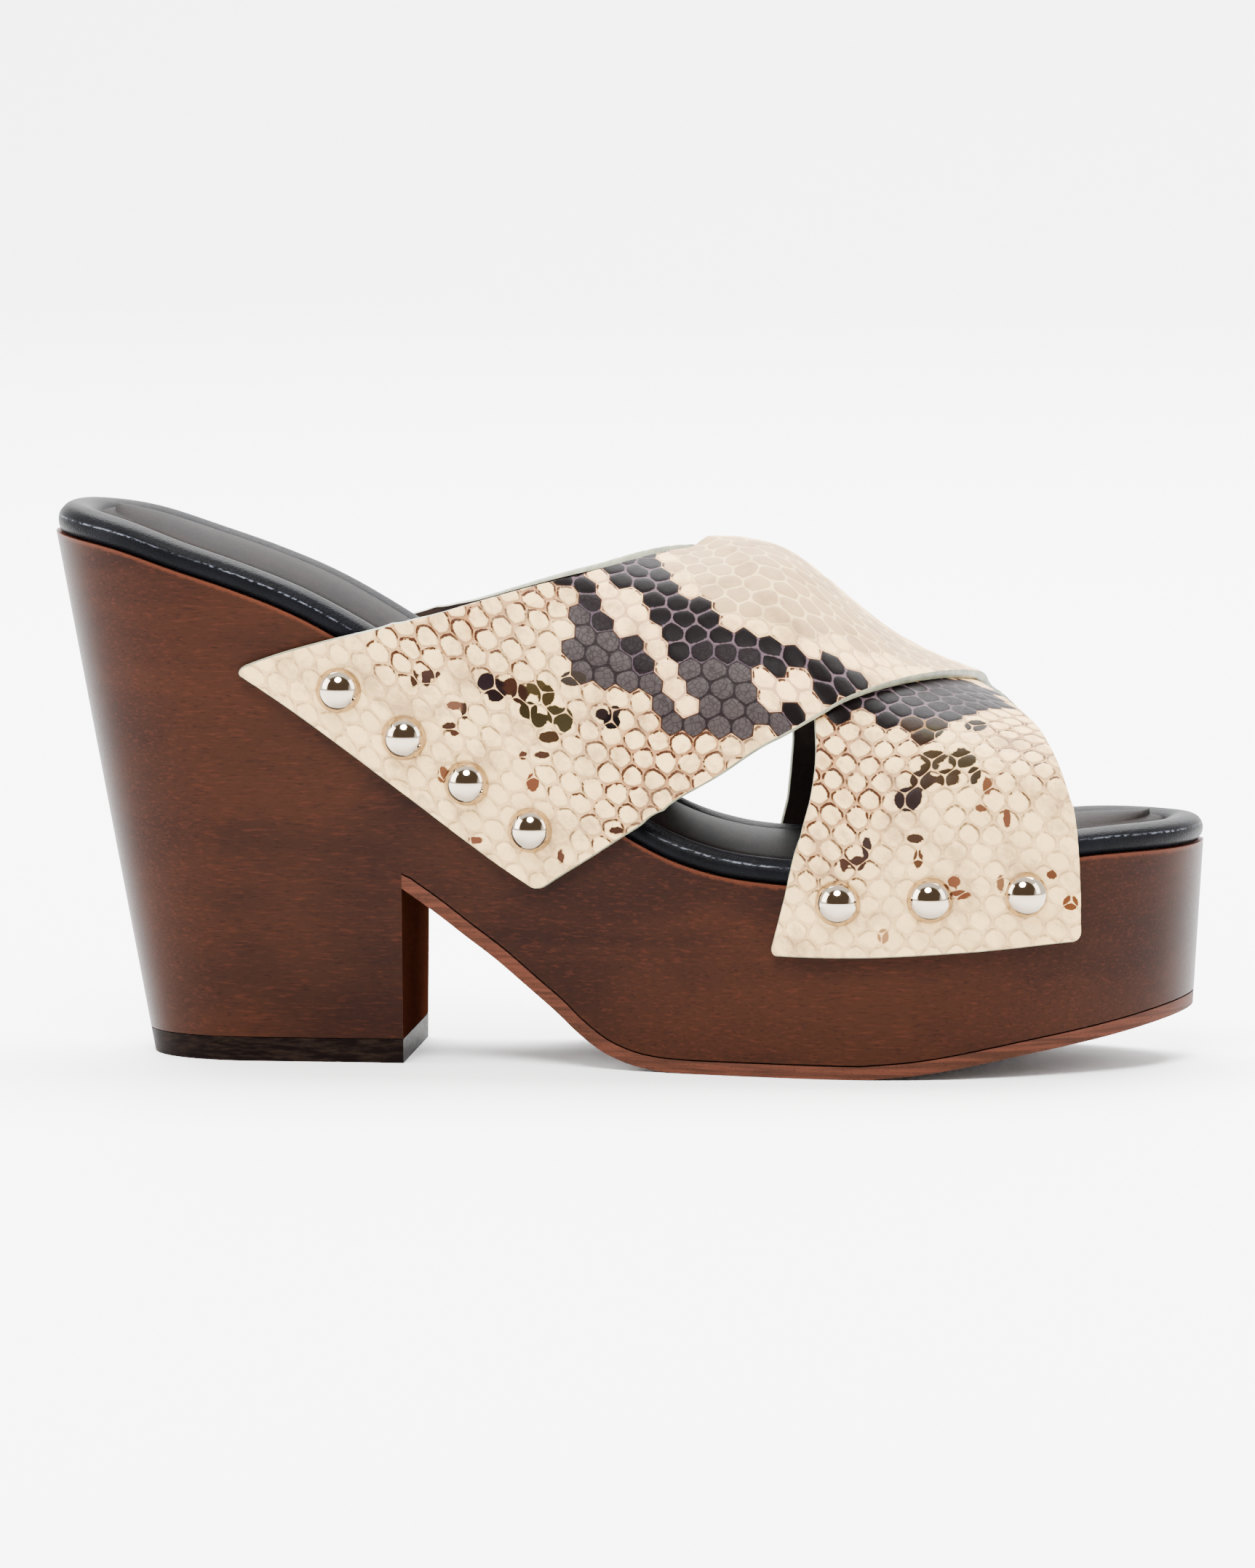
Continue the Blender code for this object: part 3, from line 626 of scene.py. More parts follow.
# Rows of scales: an anchor in the drawing, the step to the next scale and the step to the next row, in
# metres along the shoe and round the upper, and how far alternate rows are set off
REAR_SCALES = ((957.8, 879.3), (0.00475, -0.00050), (-0.00030, -0.00365), 0.40)
FRONT_SCALES = ((1267.0, 990.0), (0.0048, 0.0019), (0.0, -0.0034), 0.5)

# Kinds of scale: colour of the scale, colour of the line round it, half the line's width in mm, brown ink,
# wrinkles. The grey kind is black scales with a painted sheen of light in their colour.
SCALE_KINDS = {
    "cream": ((238, 231, 210), (208, 184, 150), 0.27, 0.55, 0.15),
    "stripe": ((240, 233, 213), (224, 212, 190), 0.22, 0.10, 0.1),
    "plain": ((219, 209, 185), (234, 226, 207), 0.13, 0.0, 0.0),
    "black": ((24, 15, 16), (140, 124, 132), 0.10, 0.0, 0.15),
    # painted sheen: black scales coloured grey, as if lit by a reflection
    "grey": ((112, 105, 105), (54, 44, 46), 0.16, 0.0, 1.0),
    "dusk": ((46, 38, 40), (120, 108, 114), 0.12, 0.0, 0.6),
    "brown": ((58, 38, 24), (176, 148, 116), 0.12, 0.0, 0.2),
}
DARK_KINDS = ("black", "grey", "dusk", "brown")

# Patches of the print, later ones over earlier ones, charted in the side drawing; the grey patches are painted
# sheen on black scales
REAR_CHART = (
    ("stripe", ((790, 780), (845, 770), (850, 820), (915, 860), (950, 915), (968, 1005), (935, 990), (885, 905),
        (830, 850), (800, 800))),
    ("stripe", ((905, 765), (925, 800), (955, 822), (975, 845), (1015, 862), (1060, 884), (1095, 897), (1145, 908),
        (1200, 925), (1200, 950), (1130, 930), (1090, 916), (1060, 912), (1000, 885), (960, 858), (930, 832),
        (900, 800))),
    ("plain", ((925, 700), (925, 790), (955, 815), (985, 842), (1020, 858), (1065, 878), (1100, 890), (1150, 902),
        (1230, 928), (1420, 990), (1450, 700))),
    ("grey", ((784, 860), (813, 848), (828, 868), (851, 877), (876, 899), (905, 933), (914, 962), (948, 996),
        (948, 1008), (919, 991), (890, 972), (885, 953), (861, 957), (827, 940), (779, 938), (776, 895))),
    ("black", ((762, 794), (805, 782), (822, 836), (842, 862), (876, 893), (886, 904), (862, 896), (840, 876),
        (822, 856), (806, 846), (790, 830), (778, 808))),
    ("dusk", ((796, 836), (822, 838), (850, 868), (880, 892), (900, 915), (904, 936), (890, 920), (866, 900),
        (840, 880), (812, 856))),
    ("black", ((840, 770), (844, 802), (880, 817), (909, 841), (929, 875), (939, 914), (950, 919), (1035, 922),
        (1055, 933), (1079, 948), (1108, 957), (1128, 967), (1167, 953), (1190, 944), (1176, 943), (1142, 933),
        (1128, 919), (1079, 911), (1050, 899), (1011, 882), (982, 861), (944, 831), (907, 815), (900, 793),
        (902, 762))),
    ("dusk", ((944, 893), (1030, 900), (1045, 921), (1030, 924), (950, 919))),
    ("grey", ((946, 917), (1036, 922), (1040, 945), (1045, 1000), (960, 1004), (962, 960))),
    ("stripe", ((1030, 921), (1064, 936), (1106, 946), (1128, 970), (1112, 988), (1080, 1000), (1040, 1010),
        (1044, 960))),
    ("grey", ((1060, 976), (1086, 976), (1086, 996), (1060, 996))),
    ("black", ((1082, 958), (1106, 960), (1102, 980), (1084, 982))),
)
FRONT_CHART = (
    ("stripe", ((1150, 975), (1210, 940), (1320, 935), (1400, 965), (1380, 985), (1330, 965), (1240, 955),
        (1200, 962))),
    ("black", ((1140, 985), (1165, 962), (1205, 953), (1234, 948), (1268, 950), (1326, 957), (1345, 965),
        (1340, 985), (1317, 986), (1303, 999), (1285, 1006), (1257, 1008), (1237, 1002), (1211, 993), (1202, 982),
        (1190, 973), (1160, 985))),
    ("dusk", ((1262, 950), (1326, 955), (1368, 968), (1372, 980), (1352, 980), (1320, 984), (1290, 975),
        (1265, 965))),
    ("brown", ((1232, 998), (1268, 1000), (1300, 994), (1290, 1010), (1276, 1026), (1262, 1014), (1240, 1008))),
)
# Small dark spots: u, v, half width, half height, colour
REAR_SPOTS = (
    (670, 939, 10, 11, (46, 32, 34)), (684, 949, 10, 12, (40, 26, 26)), (703, 944, 9, 9, (88, 46, 32)),
    (716, 954, 9, 10, (72, 38, 28)), (738, 946, 11, 8, (98, 80, 40)), (752, 957, 9, 11, (86, 66, 32)),
    (728, 976, 10, 9, (70, 52, 28)), (742, 990, 9, 8, (76, 58, 30)), (764, 983, 8, 10, (84, 70, 36)),
    (778, 990, 9, 13, (82, 70, 38)), (758, 1012, 12, 6, (92, 60, 34)), (829, 983, 7, 6, (50, 36, 34)),
    (843, 993, 9, 8, (26, 16, 16)), (847, 979, 6, 6, (52, 38, 34)), (789, 935, 14, 8, (84, 72, 58)),
    (571, 931, 4, 9, (96, 58, 36)), (594, 925, 11, 5, (98, 60, 46)), (588, 932, 5, 8, (90, 56, 44)),
    (641, 975, 4, 10, (88, 56, 38)), (626, 968, 8, 5, (150, 112, 84)), (620, 997, 8, 5, (96, 58, 38)),
    (627, 1005, 5, 4, (110, 66, 42)), (722, 1037, 5, 5, (120, 76, 50)), (748, 1036, 9, 4, (104, 62, 42)),
    (735, 1074, 7, 10, (150, 100, 62)), (611, 1063, 6, 9, (160, 112, 72)), (656, 1153, 9, 4, (150, 104, 72)),
    (774, 1176, 4, 8, (130, 84, 56)), (851, 1140, 8, 4, (96, 52, 36)),
)
FRONT_SPOTS = (
    (1337, 1008, 12, 6, (58, 40, 26)), (1278, 1015, 12, 7, (74, 54, 28)), (1281, 1048, 14, 7, (88, 66, 36)),
    (1276, 1060, 11, 4, (84, 62, 34)), (1320, 1051, 15, 9, (84, 66, 36)), (1318, 1040, 5, 3, (90, 66, 40)),
    (1265, 1077, 12, 10, (78, 50, 34)), (1278, 1077, 5, 5, (84, 54, 38)), (1300, 1077, 13, 6, (92, 66, 40)),
    (1304, 1068, 12, 4, (84, 58, 34)), (1337, 1070, 7, 7, (84, 64, 40)), (1334, 1080, 6, 3, (84, 64, 40)),
    (1247, 1101, 14, 12, (62, 44, 42)), (1260, 1098, 5, 9, (70, 50, 46)), (1257, 1152, 9, 5, (100, 68, 44)),
    (1261, 1180, 5, 10, (128, 86, 52)), (1192, 1165, 5, 13, (84, 58, 50)), (1162, 1185, 5, 10, (104, 66, 48)),
    (1180, 1186, 8, 8, (96, 62, 46)), (1354, 1085, 5, 9, (150, 108, 70)), (1346, 1112, 7, 4, (150, 110, 76)),
    (1465, 1240, 8, 8, (150, 96, 46)), (1440, 1201, 6, 5, (140, 90, 50)), (1317, 1229, 12, 5, (150, 100, 62)),
    (1309, 1211, 7, 6, (160, 112, 76)), (1380, 1125, 4, 10, (150, 106, 74)), (1371, 1214, 4, 10, (176, 134, 96)),
    (1214, 1286, 6, 8, (200, 164, 122)),
)
# Where the brown ink round the scales is strong: u, v, radius, strength
REAR_INK = (
    (915, 1050, 110, 1.0), (960, 1010, 60, 0.9), (860, 1110, 90, 0.6), (632, 862, 60, 1.0), (560, 890, 60, 0.7),
    (700, 905, 80, 0.5), (745, 808, 60, 1.0), (690, 850, 70, 0.7), (850, 1000, 90, 0.6), (780, 1080, 70, 0.35),
    (650, 1010, 60, 0.3),
)
FRONT_INK = (
    (1130, 1020, 80, 1.0), (1160, 1090, 90, 0.8), (1230, 1050, 80, 0.5), (1400, 1010, 80, 0.6),
    (1440, 1060, 60, 0.5), (1140, 1170, 80, 0.6), (1380, 1090, 70, 0.4), (1330, 1120, 70, 0.3),
)
# Dark patches take in the scales whose middle lies this near, in drawing points
PATCH_REACH = ((0, 0), (7, 0), (-7, 0), (0, 7), (0, -7))


# How bright the film shows light: screen value, and the light that gives it
FILM = (
    (0, 0.0), (28, 0.010), (75, 0.05), (107, 0.10), (133, 0.18), (175, 0.40), (200, 0.70), (214, 1.0), (235, 2.0),
    (250, 4.0),
)
STUDIO_LIGHT = 4.0


def shown(colour, strength=1.25):
    """Base colour that shows as a 0 to 255 screen colour in this studio's light."""
    colour = np.asarray(colour, float)
    grey = colour.mean()
    strong = np.clip(grey + (colour - grey) * strength, 0, 250)
    values = np.interp(strong, [row[0] for row in FILM], [row[1] for row in FILM])
    return np.clip(values / STUDIO_LIGHT, 0, 0.95)


# How a strap's skin is built up from scales: rings in from a scale's outline, and steps along each side
SCALE_RINGS = (1.0, 0.87, 0.68, 0.38)
SIDE_STEPS = 3
SITE_ROWS = range(-62, 45)
SITE_COLUMNS = range(-46, 46)
SITE_NUDGE = (0.00042, 0.00030)
# No strap reaches further round the upper than this, from its ridge
LONGEST_SIDE = 0.125
CORNER_SOFT_MM = 0.30
SCALE_RELIEF = 0.00009
# The painted edge: share of the way down the wall, and how far it stands out
EDGE_PROFILE = ((0.05, 0.00008), (0.25, 0.00022), (0.5, 0.00028), (0.75, 0.00022), (0.95, 0.00008), (1.0, 0.0))
DARK_PATCH_LINE = (92, 62, 46)
BESIDE_DARK_INK = 0.55
SPOT_REACH = 1.3


def scale_outline(site, others):
    """Outline of the ground nearer to one site than to any other, with the other site beyond each side."""
    outline = [(site + np.array(c) * 0.008, -1) for c in ((-1, -1), (1, -1), (1, 1), (-1, 1))]
    for key, other in others:
        middle, away = (site + other) / 2, other - site
        kept = []
        depth = [float((corner - middle) @ away) for corner, _ in outline]
        for k, (corner, label) in enumerate(outline):
            after = (k + 1) % len(outline)
            if depth[k] <= 0:
                kept.append((corner, label))
            if (depth[k] <= 0) != (depth[after] <= 0):
                share = depth[k] / (depth[k] - depth[after])
                cut = corner + (outline[after][0] - corner) * share
                kept.append((cut, key if depth[k] <= 0 else label))
        outline = kept
    return outline


def scale_sites(pattern, side, rows, seed):
    """All sites of scales, in metres along and round the upper, and the keys of those that touch a strap."""
    anchor, across_step, down_step, offset = rows
    rng = np.random.default_rng(seed)
    start = np.array(drawn_from(*anchor))
    sites = {}
    for j in SITE_ROWS:
        for i in SITE_COLUMNS:
            place = start + (i + offset * (j % 2)) * np.array(across_step) + j * np.array(down_step)
            sites[i, j] = place + rng.uniform(-1, 1, 2) * SITE_NUDGE
    keys = list(sites)
    places = np.array([sites[k] for k in keys])
    good = (np.abs(places[:, 0]) < x_at(0.95)) & (np.abs(places[:, 1]) < LONGEST_SIDE)
    girth = girth_at(*places.T)
    along, wide, miss = strap_shares(pattern, side, places[:, 0], girth)
    good &= (miss < 1e-4) & (along > -0.06) & (along < 1.06) & (wide > -0.12) & (wide < 1.12)
    return sites, [k for k, g in zip(keys, good) if g]


def edge_distance(places, corners, sides):
    """Distance in mm to the nearest side of a scale, softened where two sides meet."""
    gaps = np.einsum("nkc,kc->nk", places[:, None] - corners[None], sides) * 1000
    return -CORNER_SOFT_MM * np.log(np.exp(-gaps / CORNER_SOFT_MM).sum(axis=1))


def strap_skin(pattern, side, seed):
    """The skin of a strap, made of whole scales: a bmesh in metres along and round the upper, and their middles."""
    bm = bmesh.new()
    depth_layer = bm.verts.layers.float.new("edge_mm")
    cell_layer = bm.faces.layers.int.new("cell")
    beyond_layer = bm.faces.layers.int.new("beyond")
    rows = REAR_SCALES if side == LATERAL else FRONT_SCALES
    # The rows are levelled while the scales are shaped, and slope again in the mesh
    slope = rows[1][1] / rows[1][0]
    sites, kept = scale_sites(pattern, side, rows, seed)
    sites = {key: np.array((place[0], place[1] - slope * place[0])) for key, place in sites.items()}
    number = {key: n for n, key in enumerate(kept)}
    centres = []
    for i, j in kept:
        around = [(i + a, j + b) for a in range(-3, 4) for b in range(-3, 4) if a or b]
        outline = scale_outline(sites[i, j], [(key, sites[key]) for key in around if key in sites])
        corners = np.array([corner for corner, _ in outline])
        keep = np.linalg.norm(np.roll(corners, -1, axis=0) - corners, axis=1) > 1e-7
        labels = [number.get(label, -1) for (_, label), k in zip(outline, keep) if k]
        corners = corners[keep]
        run = np.roll(corners, -1, axis=0) - corners
        border = np.stack([corners + run * t / SIDE_STEPS for t in range(SIDE_STEPS)], axis=1).reshape(-1, 2)
        inward = np.stack([-run[:, 1], run[:, 0]], axis=1) / np.linalg.norm(run, axis=1)[:, None]
        centre = corners.mean(axis=0)
        centres.append((centre[0], centre[1] + slope * centre[0]))
        rings = []
        for size in SCALE_RINGS:
            ring = centre + (border - centre) * size
            gaps = edge_distance(ring, corners, inward)
            rings.append([bm.verts.new((p[0], p[1] + slope * p[0], 0)) for p in ring])
            for vertex, gap in zip(rings[-1], np.minimum(gaps, 0.0) if size == 1.0 else gaps):
                vertex[depth_layer] = gap
        middle = bm.verts.new((*centres[-1], 0))
        middle[depth_layer] = edge_distance(centre[None], corners, inward)[0]
        for outer, inner in zip(rings, [*rings[1:], None]):
            for m, label in enumerate(np.repeat(labels, SIDE_STEPS)):
                n = (m + 1) % len(border)
                tip = (inner[n], inner[m]) if inner else (middle,)
                face = bm.faces.new((outer[m], outer[n], *tip))
                face[cell_layer] = number[i, j]
                face[beyond_layer] = int(label)
    bmesh.ops.remove_doubles(bm, verts=bm.verts, dist=0.000004)
    return bm, np.array(centres)


def cut_to_strap(bm, pattern, side):
    """Moves the skin to shares of the strap and cuts off what lies beyond its rounded outline."""
    places = np.array([v.co[:2] for v in bm.verts])
    girth = girth_at(*places.T)
    along, wide, _ = strap_shares(pattern, side, places[:, 0], girth)
    for vertex, a, w in zip(bm.verts, along, wide):
        vertex.co = (a, w, 0)
    cuts = [((0, 0), (-1, 0)), ((1, 1), (1, 0)), ((0, 0), (0, -1)), ((1, 1), (0, 1))]
    for end, way in ((0, -1), (1, 1)):
        for edge, out in ((0, -1), (1, 1)):
            for turn in np.radians((18, 36, 54, 72)):
                long, wide = math.cos(turn), math.sin(turn)
                place = (end - way * LONG_ROUND * (1 - long), edge - out * WIDE_ROUND * (1 - wide))
                cuts.append((place, (way * long / LONG_ROUND, out * wide / WIDE_ROUND)))
    for place, normal in cuts:
        geometry = [*bm.verts, *bm.edges, *bm.faces]
        normal = Vector((*normal, 0)).normalized()
        place = (*place, 0)
        bmesh.ops.bisect_plane(bm, geom=geometry, dist=1e-5, plane_co=place, plane_no=normal, clear_outer=True)


def make_strap(name, pattern, side, over, materials, seed):
    """One strap: a skin of scales outside, a painted edge and a smooth lining."""
    bm, centres = strap_skin(pattern, side, seed)
    cut_to_strap(bm, pattern, side)
    depth_layer = bm.verts.layers.float["edge_mm"]
    x_layer = bm.verts.layers.float.new("strap_x")
    girth_layer = bm.verts.layers.float.new("strap_girth")
    skin_layer = bm.verts.layers.int.new("is_skin")

    def lifted(x, girth):
        points, normals = upper_frame(x, girth)
        if over:
            points = points + normals * (over_share(x, girth) * (STRAP_WALL + STRAP_GAP))[..., None]
        return points, normals

    skin = list(bm.verts)
    shares = np.array([v.co[:2] for v in skin])
    x, girth = strap_places(pattern, side, shares[:, 0], shares[:, 1])
    inner, normals = lifted(x, girth)
    edge = np.array([v[depth_layer] for v in skin])
    outer = inner + normals * (STRAP_WALL + SCALE_RELIEF * (fade(edge, 0.0, 0.75) - 1))[:, None]
    for vertex, place, at_x, at_girth in zip(skin, outer, x, girth):
        vertex.co = place
        vertex[x_layer] = at_x
        vertex[girth_layer] = at_girth
        vertex[skin_layer] = 1

    after = {}
    for rim in [e for e in bm.edges if e.is_boundary]:
        loop = rim.link_loops[0]
        after[loop.vert] = loop.link_loop_next.vert
        rim.smooth = False
    ring = [next(iter(after))]
    while after[ring[-1]] is not ring[0]:
        ring.append(after[ring[-1]])
    index = {v: k for k, v in enumerate(skin)}
    numbers = [index[v] for v in ring]
    place = upper_frame(x[numbers], girth[numbers])[0]
    out = np.cross(np.roll(place, -2, axis=0) - np.roll(place, 2, axis=0), normals[numbers])
    out /= np.linalg.norm(out, axis=1)[:, None]
    rows = [ring]
    for down, bulge in EDGE_PROFILE:
        spots = outer[numbers] + (inner[numbers] - outer[numbers]) * down + out * bulge
        rows.append([bm.verts.new(p) for p in spots])
    for high, low in zip(rows, rows[1:]):
        for m in range(len(ring)):
            n = (m + 1) % len(ring)
            bm.faces.new((high[n], high[m], low[m], low[n])).material_index = 1

    grid, grid_normal = lifted(*strap_places(pattern, side, *strap_domain(150, 50)))
    verts = [[bm.verts.new(p) for p in line] for line in grid]
    for i in range(grid.shape[0] - 1):
        for j in range(grid.shape[1] - 1):
            face = bm.faces.new((verts[i][j], verts[i + 1][j], verts[i + 1][j + 1], verts[i][j + 1]))
            face.material_index = 2
            if face.calc_area() and (face.normal_update() or face.normal.dot(Vector(grid_normal[i, j])) > 0):
                face.normal_flip()
    strap = link(name, bm, materials)
    paint_scales(strap.data, centres, side)
    return strap


def read_values(items, attribute):
    values = np.zeros(len(items))
    attribute.data.foreach_get("value", values)
    return values


def paint_scales(mesh, centres, side):
    """Writes the charted print on a strap's mesh, with the painted sheen of its grey patches: colours and line
    widths scale by scale, and the small spots.
    """
    centre_girth = girth_at(*centres.T)
    rear_print = (centre_girth < 0) == (side == LATERAL)
    drawn = drawing_place(last_point(centres[:, 0], -np.abs(centre_girth)))
    kinds = np.array(["cream"] * len(centres), dtype=object)
    ink = np.full(len(centres), 0.16)
    for here, chart, inks in ((rear_print, REAR_CHART, REAR_INK), (~rear_print, FRONT_CHART, FRONT_INK)):
        for kind, outline in chart:
            reach = PATCH_REACH if kind in DARK_KINDS else PATCH_REACH[:1]
            kinds[here & np.any([inside(list(outline), drawn + shift) for shift in reach], axis=0)] = kind
        for u, v, radius, strength in inks:
            far = np.linalg.norm(drawn - (u, v), axis=1) / radius
            ink = np.maximum(ink, np.where(here, strength * np.clip(1.35 - far, 0, 1), 0))
    rng = np.random.default_rng(11)
    chance = rng.uniform(size=len(centres))
    styles = [SCALE_KINDS[kind] for kind in kinds]
    tones = np.array([shown(style[0]) for style in styles])
    tones *= (0.93 + 0.14 * rng.uniform(size=len(centres)))[:, None]
    lines = np.array([shown(style[1]) for style in styles])
    clear = np.where(kinds == "cream", np.clip(0.16 + ink, 0, 1), 1.0)[:, None]
    lines = lines * clear + tones * 0.965 * (1 - clear)
    widths, brown, wrinkles = np.array([style[2:] for style in styles]).T
    brown = brown * ink / SCALE_KINDS["cream"][3]
    dark = np.isin(kinds.astype(str), DARK_KINDS)

    faces = len(mesh.polygons)
    cell, beyond = (read_values(mesh.polygons, mesh.attributes[name]).astype(int) for name in ("cell", "beyond"))
    beyond_dark = (beyond >= 0) & dark[np.maximum(beyond, 0)]
    line = lines[cell]
    line[dark[cell] & ~beyond_dark] = shown(DARK_PATCH_LINE)
    face_brown = np.where(~dark[cell] & beyond_dark, np.maximum(brown[cell], BESIDE_DARK_INK), brown[cell])
    loops = np.zeros(faces, int)
    mesh.polygons.foreach_get("loop_total", loops)
    ones = np.ones(faces)
    for name, columns in (
        ("scale_tone", [tones[cell], ones]),
        ("scale_line", [line, ones]),
        ("scale_style", [widths[cell], face_brown, wrinkles[cell], chance[cell]]),
        ("scale_centre", [centres[cell], np.zeros(faces), ones]),
    ):
        write_values(mesh, name, np.repeat(np.column_stack(columns), loops, axis=0), "FLOAT_COLOR", "CORNER")

    x, girth, is_skin = (read_values(mesh.vertices, mesh.attributes[name])
                         for name in ("strap_x", "strap_girth", "is_skin"))
    write_values(mesh, "skin", np.column_stack([x, length_at(x, girth), np.zeros_like(x)]), "FLOAT_VECTOR")

    drawn = drawing_place(last_point(x, -np.abs(girth)))
    rear_here = (girth < 0) if side == LATERAL else (girth >= 0)
    nearest = np.full(len(x), 3.0)
    colour = np.tile((0.0, 0.0, 0.0, 1.0), (len(x), 1))
    for here, spots in ((rear_here, REAR_SPOTS), (~rear_here, FRONT_SPOTS)):
        for u, v, half_u, half_v, tone in spots:
            out = np.hypot((drawn[:, 0] - u) / half_u, (drawn[:, 1] - v) / half_v) - SPOT_REACH
            far = np.where(here, out * min(half_u, half_v) / POINTS_PER_MM, 9.0)
            closer = (is_skin > 0) & (far < nearest)
            nearest[closer] = far[closer]
            colour[closer, :3] = shown(tone, 1.0)
    write_values(mesh, "spot_mm", nearest)
    write_values(mesh, "spot_tone", colour, "FLOAT_COLOR")


def wall_corner(at, girth):
    return Vector((x_at(at), float(shoulder_z(x_at(at))) * (2 - abs(girth))))


def stud_places(side, rear_end):
    pattern = OVER_STRAP if rear_end == (side == LATERAL) else UNDER_STRAP
    row = pattern[0] if rear_end else pattern[-1]
    rear, front = wall_corner(*row[:2]), wall_corner(*row[2:])
    run = (front - rear).normalized()
    inward = Vector((-run.y, run.x)) * (REAR_STUD_INSET if rear_end else FRONT_STUD_INSET)
    step = 0.001
    for share in REAR_STUDS if rear_end else FRONT_STUDS:
        x, z = rear + (front - rear) * share + inward
        near = [Vector((px, float(wall_y(side, px, pz)), pz)) for px, pz in ((x, z), (x + step, z), (x, z + step))]
        out = (near[1] - near[0]).cross(near[2] - near[0]).normalized()
        out = out if out.y * side > 0 else -out
        yield near[0] + out * (CONTACT_GAP + STRAP_WALL), out


def make_studs(material):
    """The domed nails as one joined mesh."""
    ball = (STUD_RADIUS**2 + STUD_HEIGHT**2) / (2 * STUD_HEIGHT)
    turns = [math.asin(STUD_RADIUS * 0.985 / ball) * k / 14 for k in range(15)]
    dome = [(ball * math.sin(turn), STUD_HEIGHT - ball * (1 - math.cos(turn))) for turn in turns]
    outline = [*dome, (STUD_RADIUS, 0.0002), (STUD_RADIUS * 0.97, -0.0001), (0.0, -0.0001)]
    bm = bmesh.new()
    ends = [(side, rear_end) for side in SIDES for rear_end in (True, False)]
    for base, out in [place for end in ends for place in stud_places(*end)]:
        verts = [bm.verts.new((radius, 0, height)) for radius, height in outline]
        edges = [bm.edges.new(pair) for pair in zip(verts, verts[1:])]
        bmesh.ops.spin(bm, geom=verts + edges, axis=(0, 0, 1), cent=(0, 0, 0), steps=48, angle=math.tau)
        stud = [v for v in bm.verts if not v.tag]
        bmesh.ops.rotate(bm, verts=stud, matrix=out.to_track_quat("Z", "Y").to_matrix())
        bmesh.ops.translate(bm, verts=stud, vec=base)
        for vertex in stud:
            vertex.tag = True
    bmesh.ops.remove_doubles(bm, verts=bm.verts, dist=WELD)
    bmesh.ops.recalc_face_normals(bm, faces=bm.faces)
    return link("studs", bm, [material], 50)


def put(value, socket):
    """Links a wire to an input, or sets the input to a number, a vector or a colour."""
    if isinstance(value, Wire):
        socket.id_data.links.new(value.socket, socket)
    else:
        socket.default_value = (*value, 1.0) if socket.type == "RGBA" else value


class Wire:
    """An output in a node tree. Sums of wires and numbers put math nodes into the tree."""

    def __init__(self, socket):
        self.socket = socket

    def math(self, kind, *values):
        node = self.socket.id_data.nodes.new("ShaderNodeMath")
        node.operation = kind
        for value, socket in zip(values, node.inputs):
            put(value, socket)
        return Wire(node.outputs[0])

    def __add__(self, other):
        return self.math("ADD", self, other)

    def __sub__(self, other):
        return self.math("SUBTRACT", self, other)

    def __rsub__(self, other):
        return self.math("SUBTRACT", other, self)

    def __mul__(self, other):
        return self.math("MULTIPLY", self, other)

    def __abs__(self):
        return self.math("ABSOLUTE", self)

    def held(self):
        """This sum, held between 0 and 1."""
        self.socket.node.use_clamp = True
        return self


class Nodes:
    """A node tree that is put together node by node."""

    def __init__(self, tree):
        self.tree = tree

    def add(self, kind, **inputs):
        node = self.tree.nodes.new("ShaderNode" + kind)
        for name, value in inputs.items():
            put(value, node.inputs[name.replace("_", " ")])
        return node

    def step(self, value, start, end):
        """0 before start, 1 after end, smooth between."""
        node = self.add("MapRange", Value=value, From_Min=start, From_Max=end)
        node.interpolation_type = "SMOOTHSTEP"
        return Wire(node.outputs["Result"])

    def mix(self, share, first, second, kind="MIX"):
        node = self.add("Mix")
        node.data_type = "RGBA"
        node.blend_type = kind
        for value, number in ((share, 0), (first, 6), (second, 7)):
            put(value, node.inputs[number])
        return Wire(node.outputs[2])

    def split(self, value, kind="Color"):
        """The three parts of a colour, or of a vector with kind XYZ."""
        node = self.add("Separate" + kind)
        put(value, node.inputs[0])
        return [Wire(socket) for socket in node.outputs[:3]]


class Finish(Nodes):
    """A Principled material."""

    def __init__(self, name, **values):
        self.material = bpy.data.materials.new(name)
        self.material.use_nodes = True
        self.tree = self.material.node_tree
        self.set(**values)

    def set(self, **values):
        for name, value in values.items():
            put(value, self.tree.nodes["Principled BSDF"].inputs[name.replace("_", " ")])

    def attribute(self, name, output="Fac"):
        node = self.add("Attribute")
        node.attribute_name = name
        return Wire(node.outputs[output])

    def vector(self, kind, *values):
        node = self.add("VectorMath")
        node.operation = kind
        for value, socket in zip(values, node.inputs):
            put(value, socket)
        return Wire(node.outputs[0])

    def place(self, *stretch):
        """Place on the object in metres, stretched along x, y and z."""
        return self.vector("MULTIPLY", Wire(self.add("TexCoord").outputs["Object"]), stretch or (1.0, 1.0, 1.0))

    def noise(self, place, scale, detail=3.0, roughness=0.55, distortion=0.0):
        node = self.add("TexNoise", Vector=place, Scale=scale, Detail=detail, Roughness=roughness,
                        Distortion=distortion)
        return Wire(node.outputs["Fac"])

    def cracks(self, place, scale):
        """Distance to the edges of random cells."""
        node = self.add("TexVoronoi", Vector=place, Scale=scale)
        node.feature = "DISTANCE_TO_EDGE"
        return Wire(node.outputs["Distance"])

    def tones(self, value, start, end, first, second):
        """From one screen colour to another while a value goes from start to end."""
        return self.mix(self.step(value, start, end), shown(first), shown(second))

    def bump(self, height, distance, strength):
        self.set(Normal=Wire(self.add("Bump", Height=height, Distance=distance, Strength=strength).outputs[0]))


